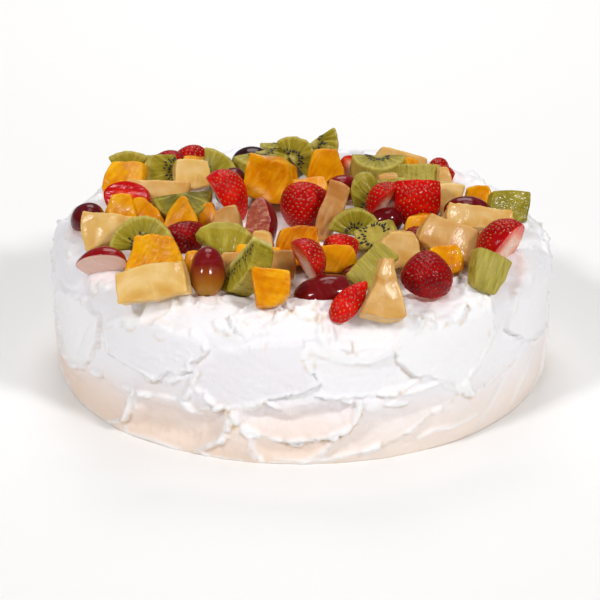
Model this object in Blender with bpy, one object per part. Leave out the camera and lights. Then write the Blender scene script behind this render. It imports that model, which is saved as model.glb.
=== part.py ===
"""A fruit-topped cream cake: an uncut round cake, spread all over with cream by a spatula, under a
heap of cut fruit. Blender 4.5, in metres, +Z up, the middle of its flat base at the origin."""

import math
import random

import bmesh
import bpy
from mathutils import Matrix, Vector, noise
from mathutils.bvhtree import BVHTree

MM = 0.001  # sizes and places below are in millimetres, angles in degrees

CAKE_RADIUS = 120  # at the widest point of the cream
CAKE_HEIGHT = 69  # top of the cream, under the fruit
BASE_TUCK = 3.5  # how far the foot of the side draws in
SHOULDER = 13  # radius of the turn from the side to the top
SIDE_ROWS = 13
SHOULDER_ROWS = 5
TOP_RINGS = (98, 92, 64, 34)
TOP_DIP = 2.2  # how far the cream is pressed down under the fruit
SEGMENTS = 112

GAP = 0.4  # kept between pieces that touch
REACH = (5, 10, 21)  # how far a piece may slide to the side, slide to the back or front, and rise
DROP_STEP = 0.5  # of its settling back down

FRUIT_EDGE = {"peach": 2.0, "pineapple": 1.2, "kiwi": 1.4}  # softening of its cut edges
FRUIT_WARP = {"peach": 2.2, "pineapple": 1.8, "kiwi": 0.8}  # unevenness of a cut piece
COLOURS = {  # colour, roughness
    "cream": ((0.90, 0.88, 0.87), 0.5),
    "peach": ((0.90, 0.42, 0.02), 0.3),
    "pineapple": ((0.83, 0.60, 0.22), 0.35),
    "kiwi": ((0.42, 0.42, 0.05), 0.3),
    "strawberry": ((0.55, 0.01, 0.01), 0.3),
    "grape": ((0.22, 0.02, 0.02), 0.2),
}

# Spatula strokes seen from the front: (bearing, height, length, width, heading, depth, slope).
# Bearing is round the cake from the front, to the right; height runs up the side and over the top.
# Length, width and depth are in millimetres, heading in degrees; slope is how much further out the
# upper edge stands than the middle.
STROKES = (
    (-12, 62, 90, 30, -4, 0.6, 0.5),
    (-62, 40, 44, 40, 58, 0.4, 1.0),
    (-34, 52, 52, 30, 8, 1.6, 0.8),
    (-4, 44, 72, 34, -6, 0.8, 0.9),
    (-32, 16, 40, 30, 70, 0.2, -0.9),
    (-15, 13, 36, 34, 78, 0.9, 0.8),
    (4, 14, 34, 36, 62, 0.3, 0.9),
    (20, 42, 38, 26, 4, 1.3, 0.7),
    (34, 52, 46, 40, 10, 2.0, 1.0),
    (9, 58, 34, 14, -16, 2.6, 0.4),
    (24, 14, 50, 30, 52, 0.6, 0.8),
    (46, 20, 46, 26, 48, 0.9, 0.9),
    (66, 34, 50, 36, 52, 0.8, 1.0),
    (-58, 12, 46, 26, 20, 0.5, 0.7),
)
BACK_STROKES = 26  # further strokes round the sides and the back
BACK_SEED = 4

# Cuts through a round fruit: planes as (x, y, z, distance); what lies past one is removed.
CUTS = {
    "whole": (),
    "half": ((0, 0, 1, 0),),
    "most": ((0, 0, 1, 4),),
    "slice": ((0, 0, 1, 4), (0, 0, -1, 4)),
    "block": ((0, 0, -1, 0), (0, 1, 0, 9), (1, 0, 0, 11), (-1, 0, 0, 11)),
    "docked": ((0, 0, 1, 0), (0, 1, 0, 11)),
}

# node, fruit, form, sizes, (x, y, lift), (turn, tip, spin). Rows of one node are fused.
# turn is where a piece faces, from the front to the right; tip 0 lies flat, 90 stands facing out;
# spin turns it in its own plane. lift raises it from the cream.
PIECES = (
    ("strawberry_04", "strawberry", "whole", (27, 24), (3, 1, 0), (0, 90, 100)),
    ("peach_05", "peach", "quad", (23, 20, 20, 21, 0), (-15, 32, 0), (-20, 68, -5)),
    ("peach_05", "peach", "quad", (18, 16, 14, 12, 0), (3, 24, 0), (10, 20, 0)),
    ("strawberry_03", "strawberry", "most", (29, 22), (-33, 10, 0), (-75, 118, 10)),
    ("strawberry_10", "strawberry", "block", (31, 28), (56, -4, 0), (0, 62, 0)),
    ("strawberry_10", "strawberry", "half", (27, 22), (37, 4, 0), (45, 118, -23)),
    ("kiwi_08", "kiwi", "wedge", (17, 30, 150, 12), (-35, -40, 0), (0, 55, -8)),
    ("pineapple_07", "pineapple", "quad", (7, 10, 28, 7, 0), (14, -15, 0), (0, 60, -20)),
    ("kiwi_14", "kiwi", "wedge", (13.5, 8, 172, 6), (26, -18, 5), (0, 74, -5)),
    ("kiwi_14", "kiwi", "quad", (20, 18, 10, 9, 0), (35, -27, 0), (-10, 64, 22)),
    ("pineapple_10", "pineapple", "quad", (26, 12, 17, 12, 4), (42, -54, 0), (0, 64, 0)),
    ("pineapple_10", "pineapple", "quad", (29, 24, 15, 12, -1), (68, -50, 0), (8, 56, -26)),
    ("strawberry_11", "strawberry", "half", (33, 27), (87, -47, 0), (56, 118, 60)),
    ("pineapple_01", "pineapple", "fan", (10, 40, 30, 10), (-87, -36, 0), (-12, 56, 101)),
    ("kiwi_07", "kiwi", "wedge", (15, 0, 180, 8), (-74, -40, 5), (0, 64, 4)),
    ("peach_06", "peach", "quad", (28, 17, 18, 11, -3), (-65, -68, 0), (-5, 58, 0)),
    ("peach_06", "peach", "quad", (12, 8, 12, 9, 0), (-50, -62, 0), (10, 60, 0)),
    ("strawberry_05", "strawberry", "half", (25, 20), (-53, -38, 0), (0, 205, 40)),
    ("grape_05", "grape", "half", (28, 20), (-18, -31, 0), (-58, 74, 20)),
    ("peach_07", "peach", "quad", (20, 17, 17, 14, 0), (-1, -47, 0), (0, 68, 0)),
    ("peach_07", "peach", "quad", (22, 16, 11, 14, 0), (14, -60, 0), (5, 58, 0)),
    ("peach_07", "peach", "quad", (24, 20, 10, 9, 0), (-19, -55, 0), (0, 40, 0)),
    ("pineapple_03", "pineapple", "quad", (32, 31, 14, 12, 0), (-66, -94, 0), (-5, 60, 12)),
    ("grape_07", "grape", "whole", (24, 16), (-44, -87, 0), (0, 50, 0)),
    ("kiwi_09", "kiwi", "wedge", (15.5, 0, 180, 11), (-27, -95, 0), (-66, 62, -115)),
    ("peach_08", "peach", "quad", (19, 11, 16, 9, 0), (-13, -99, 0), (0, 55, -84)),
    ("pineapple_04", "pineapple", "quad", (34, 32, 13, 8, 0), (-20, -69, 0), (0, 60, 0)),
    ("grape_08", "grape", "docked", (31, 20), (8, -93, 0), (100, 173, 0)),
    ("strawberry_06", "strawberry", "half", (24, 21), (3, -73, 0), (-63, 114, 0)),
    ("pineapple_11", "pineapple", "fan", (10, 38, 30, 11), (37, -107, 0), (8, 60, 171)),
    ("strawberry_14", "strawberry", "half", (24, 12), (23, -111, 0), (-5, 230, 37)),
    ("strawberry_15", "strawberry", "half", (26, 24), (57, -86, 0), (20, 215, 20)),
    ("peach_12", "peach", "quad", (14, 13, 14, 9, 0), (65, -71, 0), (20, 50, 0)),
    ("kiwi_17", "kiwi", "quad", (11, 18, 17, 9, -1), (83, -79, 0), (20, 60, -32)),
    ("kiwi_16", "kiwi", "quad", (25, 21, 12, 8, 0), (31, -79, 0), (0, 62, 45)),
    ("strawberry_12", "strawberry", "half", (18, 17), (19, -48, 0), (0, 215, 60)),
    ("grape_06", "grape", "half", (26, 18), (-90, -64, 0), (-5, 130, -62)),
    ("grape_01", "grape", "most", (20, 17), (-102, -11, 0), (10, 160, 0)),
    ("peach_01", "peach", "quad", (19, 8, 15, 8, -2), (-87, -6, 0), (-10, 60, 0)),
    ("peach_01", "peach", "quad", (20, 6, 16, 8, -5), (-76, -6, 0), (0, 60, 0)),
    ("peach_04", "peach", "quad", (18, 4, 20, 8, 0), (-57, -12, 0), (-5, 66, -5)),
    ("kiwi_03", "kiwi", "wedge", (15, 0, 180, 10), (-57, 3, 0), (0, 32, 188)),
    ("strawberry_01", "strawberry", "slice", (20, 24), (-85, 9, 0), (-15, 50, 0)),
    ("pineapple_13", "pineapple", "quad", (30, 31, 12, 10, 0), (-71, 23, 0), (5, 50, -3)),
    ("peach_02", "peach", "quad", (21, 17, 15, 9, 2), (-87, 33, 0), (-5, 62, 0)),
    ("grape_03", "grape", "whole", (21, 15), (-35, 33, 0), (0, 50, -20)),
    ("kiwi_01", "kiwi", "wedge", (17, 55, 128, 8), (-88, 47, 0), (-10, 70, 0)),
    ("kiwi_01", "kiwi", "quad", (20, 15, 15, 11, -1), (-71, 48, 0), (5, 64, 0)),
    ("pineapple_02", "pineapple", "quad", (18, 16, 13, 10, 0), (-55, 45, 0), (8, 60, 0)),
    ("kiwi_04", "kiwi", "wedge", (18, 0, 95, 9), (-40, 60, 0), (0, 60, -5)),
    ("strawberry_02", "strawberry", "half", (24, 20), (-69, 66, 0), (90, 180, 0)),
    ("strawberry_02", "strawberry", "half", (24, 21), (-58, 78, 0), (40, 170, 0)),
    ("kiwi_05", "kiwi", "wedge", (12.5, 0, 180, 9), (-4, 62, 0), (0, 70, -50)),
    ("kiwi_05", "kiwi", "wedge", (15, 0, 180, 12), (-22, 56, 0), (0, 12, 200)),
    ("grape_04", "grape", "half", (22, 19), (-24, 76, 0), (-10, 150, 85)),
    ("kiwi_06", "kiwi", "wedge", (14, 0, 180, 10), (9, 82, 0), (5, 66, -150)),
    ("kiwi_06", "kiwi", "wedge", (15, 0, 180, 7), (-7, 92, 0), (160, 4, 20)),
    ("peach_09", "peach", "quad", (20, 11, 18, 13, -2), (13, 56, 0), (0, 70, 0)),
    ("kiwi_11", "kiwi", "wedge", (14, 0, 180, 11), (39, 54, 4), (0, 12, 180)),
    ("kiwi_11", "kiwi", "wedge", (12, 0, 180, 14), (59, 47, 0), (0, -25, 180)),
    ("grape_09", "grape", "most", (20, 16), (19, 36, 2), (100, 165, 0)),
    ("kiwi_12", "kiwi", "oval", (14, 20, 13), (31, 20, 0), (0, 70, 0)),
    ("kiwi_12", "kiwi", "wedge", (15, 0, 180, 11), (47, 30, 0), (0, 14, 0)),
    ("pineapple_06", "pineapple", "quad", (28, 24, 8, 8, 0), (52, 70, 0), (5, 66, -20)),
    ("strawberry_07", "strawberry", "half", (14, 13), (25, 73, 0), (20, 80, 80)),
    ("strawberry_07", "strawberry", "half", (21, 15), (31, 80, 0), (60, 178, 0)),
    ("strawberry_08", "strawberry", "half", (17, 13), (70, 60, 0), (150, 172, 0)),
    ("strawberry_08", "strawberry", "half", (16, 11), (69, 69, 0), (170, 178, 0)),
    ("pineapple_08", "pineapple", "fan", (10, 27, 34, 11), (72, 14, 0), (0, 68, 0)),
    ("pineapple_08", "pineapple", "quad", (30, 30, 11, 11, 0), (84, -20, 0), (8, 52, -8)),
    ("pineapple_08", "pineapple", "quad", (18, 18, 31, 8, 0), (78, -4, 0), (5, 4, 0)),
    ("kiwi_13", "kiwi", "quad", (19, 19, 15, 8, 2), (99, 1, 0), (15, 52, -8)),
    ("peach_10", "peach", "quad", (13, 11, 10, 10, 0), (87, 25, 0), (0, 72, 0)),
    ("grape_11", "grape", "half", (23, 15), (84, -3, 7), (88, 175, 0)),
    ("grape_10", "grape", "half", (18, 14), (40, -10, 0), (0, 255, 70)),
    ("peach_13", "peach", "quad", (20, 15, 13, 8, 0), (59, -19, 0), (0, 66, 0)),
    ("strawberry_13", "strawberry", "half", (18, 17), (56, -33, 0), (0, 215, 90)),
)


def material(fruit):
    made = bpy.data.materials.get(fruit)
    if made:
        return made
    colour, roughness = COLOURS[fruit]
    made = bpy.data.materials.new(fruit)
    made.use_nodes = True
    shader = made.node_tree.nodes["Principled BSDF"]
    shader.inputs["Base Color"].default_value = (*colour, 1)
    shader.inputs["Roughness"].default_value = roughness
    made.diffuse_color = (*colour, 1)
    return made


def new_object(name, bm, fruit):
    """Turns bm, in millimetres, into an object in metres."""
    bmesh.ops.recalc_face_normals(bm, faces=bm.faces)
    bmesh.ops.triangulate(bm, faces=bm.faces)
    bmesh.ops.scale(bm, vec=(MM, MM, MM), verts=bm.verts)
    mesh = bpy.data.meshes.new(name)
    bm.to_mesh(mesh)
    bm.free()
    mesh.shade_smooth()
    mesh.set_sharp_from_angle(angle=math.radians(35))
    mesh.materials.append(material(fruit))
    made = bpy.data.objects.new(name, mesh)
    bpy.context.scene.collection.objects.link(made)
    return made


# --- The cream-covered cake ---


def all_strokes():
    """The strokes at the front, and like ones on the rest of the side and round the rim."""
    draw = random.Random(BACK_SEED)
    behind = []
    for number in range(BACK_STROKES):
        bearing = 88 + 184 * (number + 0.5) / BACK_STROKES + draw.uniform(-6, 6)
        height = (14, 50, 32, 66)[number % 4] + draw.uniform(-5, 5)
        behind.append(
            (bearing, height, draw.uniform(38, 62), draw.uniform(26, 38), draw.uniform(-25, 60),
             draw.uniform(0.2, 1.8), draw.uniform(0.5, 1.1))
        )
    return tuple(behind) + STROKES


def relief(bearing, height, strokes, soft):
    """How far the cream stands out at a place; each stroke wipes flat what lies under it."""
    along_side = math.radians(bearing) * CAKE_RADIUS
    out = 1.2 * noise.noise(Vector((along_side * 0.02, height * 0.04, 3.7)))
    for at, level, length, width, heading, depth, slope in strokes:
        turn = (bearing - at + 180) % 360 - 180
        across = math.radians(turn) * CAKE_RADIUS
        up = height - level
        if abs(across) > length or abs(up) > length:
            continue
        cos, sin = math.cos(math.radians(heading)), math.sin(math.radians(heading))
        p = (across * cos + up * sin) / (length / 2)
        q = (up * cos - across * sin) / (width / 2)
        ragged = 0.16 * noise.noise(Vector((across * 0.12 + at, up * 0.12, 1.3)))
        rim = (p**4 + q**4) ** 0.25 + ragged
        inside = min(1, max(0, (1 + soft - rim) / (2 * soft)))
        out += (depth + slope * q - out) * inside * inside * (3 - 2 * inside)
        out += 1.1 * math.exp(-(((rim - 1) / (1.4 * soft)) ** 2)) * (q > -0.6)
    return out


def side_profile():
    """(radius, z, outward, up) of each row of the side, from the base to the top's outer ring."""
    straight = CAKE_HEIGHT - SHOULDER
    rows = []
    for row in range(SIDE_ROWS + 1):
        z = straight * row / SIDE_ROWS
        tuck = BASE_TUCK * max(0, 1 - z / 14) ** 2
        rows.append((CAKE_RADIUS - 2 - tuck, z, 1, 0))
    for row in range(1, SHOULDER_ROWS + 1):
        turn = math.pi / 2 * row / SHOULDER_ROWS
        radius = CAKE_RADIUS - 2 - SHOULDER * (1 - math.cos(turn))
        rows.append((radius, straight + SHOULDER * math.sin(turn), math.cos(turn), math.sin(turn)))
    return rows


def make_cake():
    strokes = all_strokes()
    bm = bmesh.new()
    rings = []
    length = 0
    last = None
    for radius, z, outward, up in side_profile():
        if last:
            length += math.dist(last, (radius, z))
        last = (radius, z)
        ring = []
        for segment in range(SEGMENTS):
            bearing = 360 * segment / SEGMENTS
            out = relief(bearing, length, strokes, 0.22)
            reach = radius + out * outward
            angle = math.radians(bearing)
            height = z + out * up if z else 0
            x, y = reach * math.sin(angle), -reach * math.cos(angle)
            ring.append(bm.verts.new((x, y, height)))
        rings.append(ring)
    for radius in TOP_RINGS:
        level = CAKE_HEIGHT - TOP_DIP * (radius < TOP_RINGS[0])
        ring = []
        for segment in range(SEGMENTS):
            angle = 2 * math.pi * segment / SEGMENTS
            x, y = radius * math.sin(angle), -radius * math.cos(angle)
            height = level + 0.6 * noise.noise(Vector((x, y, 0)) * 0.03)
            ring.append(bm.verts.new((x, y, height)))
        rings.append(ring)
    for lower, upper in zip(rings, rings[1:]):
        for i in range(SEGMENTS):
            j = (i + 1) % SEGMENTS
            bm.faces.new((lower[i], lower[j], upper[j], upper[i]))
    bm.faces.new(rings[-1])
    bm.faces.new(rings[0][::-1])
    fit_to_plan(bm)
    return new_object("cake", bm, "cream")


def fit_to_plan(bm):
    """Stretches each quarter a little, so that the cream's widest points lie on CAKE_RADIUS."""
    for axis in (0, 1):
        for side in (-1, 1):
            widest = max(side * vert.co[axis] for vert in bm.verts)
            for vert in bm.verts:
                if side * vert.co[axis] > 0:
                    vert.co[axis] *= CAKE_RADIUS / widest


# --- The fruit ---


def box_of(points):
    return [(min(axis), max(axis)) for axis in zip(*points)]


def centred(points):
    middle = [(low + high) / 2 for low, high in box_of(points)]
    return [(x - middle[0], y - middle[1]) for x, y in points]


def arc(radius, start, end, steps):
    angles = (math.radians(start + (end - start) * i / steps) for i in range(steps + 1))
    return [(radius * math.cos(a), radius * math.sin(a)) for a in angles]


def wedge_outline(radius, start, end):
    """Part of a round slice, about its core."""
    points = arc(radius, start, end, max(4, round((end - start) / 22)))
    return points if end - start == 180 else points + [(0, 0)]


def fan_outline(inner, outer, angle):
    """Part of a pineapple ring."""
    left, right = 90 + angle / 2, 90 - angle / 2
    return arc(outer, right, left, 4) + arc(inner, left, right, 1)


def oval_outline(width, height):
    return [(x * width / 2, y * height / 2) for x, y in arc(1, 0, 330, 11)]


def quad_outline(bottom, top, height, shift):
    """A four-sided cut, its sides a little bowed."""
    bow = 0.04 * height
    corners = [
        Vector((bottom / 2, -height / 2)),
        Vector((top / 2 + shift, height / 2)),
        Vector((-top / 2 + shift, height / 2)),
        Vector((-bottom / 2, -height / 2)),
    ]
    points = []
    for start, end in zip(corners, corners[1:] + corners[:1]):
        along = (end - start).normalized()
        middle = (start + end) / 2 + bow * Vector((along.y, -along.x))
        points += [tuple(start), tuple(middle)]
    return points


def slab(outline, thick, fruit, seed):
    """A cut piece: its outline in its own plane, thick across, with softened edges."""
    edge = FRUIT_EDGE[fruit]
    warp = FRUIT_WARP[fruit]
    bm = bmesh.new()
    face = bm.faces.new([bm.verts.new((x, y, edge - thick / 2)) for x, y in centred(outline)])
    face.normal_update()
    if face.normal.z > 0:
        face.normal_flip()
    risen = bmesh.ops.extrude_face_region(bm, geom=[face], use_keep_orig=True)["geom"]
    top = next(item for item in risen if isinstance(item, bmesh.types.BMFace))
    bmesh.ops.translate(bm, verts=top.verts, vec=(0, 0, thick - 2 * edge))
    bmesh.ops.recalc_face_normals(bm, faces=bm.faces)
    bmesh.ops.inset_individual(bm, faces=[face, top], thickness=edge, depth=edge)
    for vert in bm.verts:
        where = vert.co * 0.07 + Vector((seed * 3.1, seed * 1.7, 0))
        vert.co += warp * Vector([noise.noise(where + Vector((0, 0, 9.3 * i))) for i in range(3)])
    return bm


def round_fruit(length, width, fruit, cuts, seed):
    """A grape or a strawberry, its length along Y with the stalk end at +Y, cut by planes."""
    pull = 1.45 if fruit == "strawberry" else 1.0  # moves the widest part towards the stalk
    sides, rows = (10, 7) if fruit == "strawberry" else (9, 6)
    bm = bmesh.new()
    bmesh.ops.create_uvsphere(bm, u_segments=sides, v_segments=rows, radius=1)
    for vert in bm.verts:
        x, z, height = vert.co
        along = ((height + 1) / 2) ** (1 / pull)
        swell = 1 + 0.05 * noise.noise(Vector((x, height, z)) * 1.1 + Vector((seed, 0, 0)))
        radius = swell * width / 2
        vert.co = Vector((x * radius, (along - 0.5) * length, -z * radius))
    for x, y, z, distance in cuts:
        normal = Vector((x, y, z))
        bmesh.ops.bisect_plane(
            bm,
            geom=bm.verts[:] + bm.edges[:] + bm.faces[:],
            plane_co=normal * distance,
            plane_no=normal,
            clear_outer=True,
        )
        bmesh.ops.holes_fill(bm, edges=[edge for edge in bm.edges if edge.is_boundary])
    box = box_of([vert.co for vert in bm.verts])
    bmesh.ops.translate(bm, verts=bm.verts, vec=[-(low + high) / 2 for low, high in box])
    return bm


def piece_shape(fruit, form, sizes, seed):
    if form == "wedge":
        return slab(wedge_outline(*sizes[:3]), sizes[3], fruit, seed)
    if form == "fan":
        return slab(fan_outline(*sizes[:3]), sizes[3], fruit, seed)
    if form == "oval":
        return slab(oval_outline(*sizes[:2]), sizes[2], fruit, seed)
    if form == "quad":
        bottom, top, height, thick, shift = sizes
        return slab(quad_outline(bottom, top, height, shift), thick, fruit, seed)
    return round_fruit(*sizes, fruit, CUTS[form], seed)


def make_piece(node, fruit, form, sizes, place, facing, seed, cake):
    """A piece at its place, raised by lift from where it would touch the cake."""
    made = new_object(node, piece_shape(fruit, form, sizes, seed), fruit)
    turn, tip, spin = (Matrix.Rotation(math.radians(angle), 4, axis) for angle, axis in zip(facing, "ZXZ"))
    rotation = turn @ tip @ spin
    x, y, lift = place
    made.matrix_world = Matrix.Translation((x * MM, y * MM, 0)) @ rotation
    points, faces = world_shape([made], GAP * MM)
    low, high = 0, 2 * CAKE_HEIGHT
    while high - low > GAP / 4:
        middle = (low + high) / 2
        if cake.clear_at(points, faces, Vector((0, 0, middle * MM))):
            high = middle
        else:
            low = middle
    made.location.z = (high + lift) * MM
    return made


def world_shape(pieces, grow=0):
    """The points and faces of some objects together, their points moved out by grow."""
    points, faces = [], []
    for piece in pieces:
        first = len(points)
        matrix = piece.matrix_basis
        turn = matrix.to_3x3()
        for vert in piece.data.vertices:
            points.append(matrix @ vert.co + turn @ vert.normal * grow)
        faces += [tuple(first + i for i in face.vertices) for face in piece.data.polygons]
    return points, faces


def apart(one, other):
    return any(a[0] > b[1] or b[0] > a[1] for a, b in zip(one, other))


class Heap:
    """What lies on the cake so far, for finding where the next piece has room."""

    def __init__(self):
        self.shapes = []

    def add(self, pieces):
        points, faces = world_shape(pieces)
        self.shapes.append((box_of(points), BVHTree.FromPolygons(points, faces)))

    def clear_at(self, points, faces, offset):
        moved = [point + offset for point in points]
        box = box_of(moved)
        near = [tree for other, tree in self.shapes if not apart(box, other)]
        if not near:
            return True
        tree = BVHTree.FromPolygons(moved, faces)
        return not any(tree.overlap(other) for other in near)


def search_order():
    """Moves to try in whole millimetres, the smallest first; to the back or front counts half."""
    across, along, up = REACH
    moves = [
        (x, y, z)
        for x in range(-across, across + 1)
        for y in range(-along, along + 1)
        for z in range(up + 1)
    ]
    return sorted(moves, key=lambda move: (math.hypot(move[0], 0.5 * move[1], move[2]), move))


def settle(heap, pieces, moves):
    """Moves a node's pieces to the nearest place with room, then lowers them until they touch."""
    points, faces = world_shape(pieces, GAP * MM)
    for move in moves:
        offset = Vector(move) * MM
        if heap.clear_at(points, faces, offset):
            break
    step = Vector((0, 0, DROP_STEP * MM))
    while heap.clear_at(points, faces, offset - step):
        offset -= step
    for piece in pieces:
        piece.location += offset


def fused(name, pieces):
    """One object from pieces that run into each other."""
    if len(pieces) == 1:
        return pieces[0]
    helpers = bpy.data.collections.new(name)
    for piece in pieces[1:]:
        helpers.objects.link(piece)
    join = pieces[0].modifiers.new("join", "BOOLEAN")
    join.operation = "UNION"
    join.operand_type = "COLLECTION"
    join.collection = helpers
    bpy.context.view_layer.update()
    graph = bpy.context.evaluated_depsgraph_get()
    mesh = bpy.data.meshes.new_from_object(pieces[0].evaluated_get(graph))
    pieces[0].modifiers.remove(join)
    pieces[0].data = mesh
    for piece in pieces[1:]:
        bpy.data.objects.remove(piece)
    bpy.data.collections.remove(helpers)
    return pieces[0]


def main():
    for old in list(bpy.data.objects):
        bpy.data.objects.remove(old)
    cake = make_cake()
    heap = Heap()
    heap.add([cake])
    nodes = {}
    for seed, (node, *rest) in enumerate(PIECES):
        nodes.setdefault(node, []).append(make_piece(node, *rest, seed, heap))
    moves = search_order()
    for node, pieces in nodes.items():
        settle(heap, pieces, moves)
        heap.add(pieces)
    for node, pieces in nodes.items():
        fused(node, pieces).name = node


main()
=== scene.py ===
import math
import random
from contextlib import contextmanager

import bpy
import numpy as np
from mathutils import Matrix, Vector, noise
from mathutils.bvhtree import BVHTree
from mathutils.kdtree import KDTree


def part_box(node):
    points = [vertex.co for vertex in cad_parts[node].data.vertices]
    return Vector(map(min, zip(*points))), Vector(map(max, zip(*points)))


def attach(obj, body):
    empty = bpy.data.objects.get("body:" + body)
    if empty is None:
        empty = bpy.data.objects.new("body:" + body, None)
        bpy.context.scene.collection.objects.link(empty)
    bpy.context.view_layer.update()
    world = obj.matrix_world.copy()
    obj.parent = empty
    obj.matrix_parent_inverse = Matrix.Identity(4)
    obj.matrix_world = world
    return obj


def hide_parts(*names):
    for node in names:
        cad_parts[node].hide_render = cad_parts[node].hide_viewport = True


# A round cream cake under a heap of cut fruit. Sizes are in millimetres and angles in degrees.
# Every piece of fruit stands for its CAD solid; the cream stands for the solid cake.

mm = 0.001
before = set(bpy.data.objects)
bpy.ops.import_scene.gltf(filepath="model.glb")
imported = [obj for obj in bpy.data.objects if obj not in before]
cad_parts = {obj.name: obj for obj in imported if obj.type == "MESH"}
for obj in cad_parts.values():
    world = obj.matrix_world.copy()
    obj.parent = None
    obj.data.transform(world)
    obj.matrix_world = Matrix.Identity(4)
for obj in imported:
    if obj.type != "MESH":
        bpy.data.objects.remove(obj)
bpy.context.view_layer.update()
print("frame loaded:", len(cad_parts), "nodes")


def linear(hexColour):
    parts = [int(hexColour[i:i + 2], 16) / 255 for i in (1, 3, 5)]
    return [((c + 0.055) / 1.055) ** 2.4 if c > 0.04045 else c / 12.92 for c in parts] + [1.0]


def smoothStep(low, high, value):
    share = np.clip((value - low) / (high - low), 0, 1)
    return share * share * (3 - 2 * share)


@contextmanager
def editMode():
    bpy.ops.object.mode_set(mode="EDIT")
    yield
    bpy.ops.object.mode_set(mode="OBJECT")


def clearSelection():
    if bpy.context.object and bpy.context.object.mode != "OBJECT":
        bpy.ops.object.mode_set(mode="OBJECT")
    bpy.ops.object.select_all(action="DESELECT")


def pick(*pieces):
    clearSelection()
    for piece in pieces:
        piece.select_set(True)
    bpy.context.view_layer.objects.active = pieces[0]


def turnFacesOut():
    bpy.ops.mesh.select_all(action="SELECT")
    bpy.ops.mesh.normals_make_consistent(inside=False)


def finishWith(piece, kind, **settings):
    bpy.context.view_layer.objects.active = piece
    modifier = piece.modifiers.new("step", kind)
    for name, value in settings.items():
        setattr(modifier, name, value)
    bpy.ops.object.modifier_apply(modifier=modifier.name)


def readPoints(piece, what="co"):
    values = np.empty(len(piece.data.vertices) * 3)
    piece.data.vertices.foreach_get(what, values)
    return values.reshape(-1, 3)


def writePoints(piece, points):
    piece.data.vertices.foreach_set("co", np.ascontiguousarray(points, float).ravel())
    piece.data.update()


def writeAttribute(piece, name, values):
    attribute = piece.data.attributes.get(name) or piece.data.attributes.new(name, "FLOAT_VECTOR", "POINT")
    attribute.data.foreach_set("vector", np.ascontiguousarray(values, np.float32).ravel())


def surfaceOf(piece, points):
    # What is needed to find the nearest place on a piece, or where a ray meets it.
    return BVHTree.FromPolygons(points.tolist(), [tuple(face.vertices) for face in piece.data.polygons])


def roughness(points, frequency, seed):
    # Smooth noise between about -1 and 1 at each point; frequency is per millimetre, one or three values.
    places = points * frequency + np.array((seed * 7.3, seed * 2.9, seed * 5.1))
    return np.array([noise.noise(place) for place in places.tolist()])


def setInputs(tree, node, inputs):
    for socket, value in inputs.items():
        if isinstance(value, bpy.types.NodeSocket):
            tree.links.new(value, node.inputs[socket])
        else:
            node.inputs[socket].default_value = value


def addNode(tree, kind, inputs, stops=(), **settings):
    # Adds a node with its settings and links, and gives its outputs; stops are a colour ramp's.
    node = tree.nodes.new("ShaderNode" + kind)
    for name, value in settings.items():
        setattr(node, name, value)
    setInputs(tree, node, inputs)
    for number, (place, colour) in enumerate(stops):
        elements = node.color_ramp.elements
        stop = elements[number] if number < 2 else elements.new(place)
        stop.position = place
        stop.color = linear(colour)
    return node.outputs


def newMaterial(name, surface):
    material = bpy.data.materials.new(name)
    material.use_nodes = True
    shader = material.node_tree.nodes["Principled BSDF"]
    setInputs(material.node_tree, shader, surface)
    return material, material.node_tree, shader


def fruitInputs(tree):
    # grain: along, across and through the fibres, in mm. look: skin 1 or cut 0, place from core to rim, tone.
    grain = addNode(tree, "Attribute", {}, attribute_name="grain")["Vector"]
    look = addNode(tree, "Attribute", {}, attribute_name="look")["Vector"]
    skin, zone, tone = addNode(tree, "SeparateXYZ", {0: look})
    return grain, skin, zone, tone


def wetSurface(clearness, glow, depth, film, juice, under):
    # Half clear flesh or skin under a film of juice; film is how much of it there is, juice how dull it is.
    return {
        "Subsurface Weight": clearness, "Subsurface Radius": glow, "Subsurface Scale": depth, "IOR": 1.36,
        "Coat Weight": film, "Coat Roughness": juice, "Coat IOR": 1.4, "Specular IOR Level": under,
    }


def fibreNoise(tree, grain, spacing, rough=0.6):
    place = addNode(tree, "Mapping", {"Vector": grain, "Scale": spacing})[0]
    return addNode(tree, "TexNoise", {"Vector": place, "Scale": 1.0, "Detail": 3.0, "Roughness": rough})[0]


def addRelief(tree, shader, height, strength, distance):
    bump = addNode(tree, "Bump", {"Height": height, "Strength": strength, "Distance": distance})[0]
    setInputs(tree, shader, {"Normal": bump, "Coat Normal": bump})  # the film of juice follows the fibres


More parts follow.
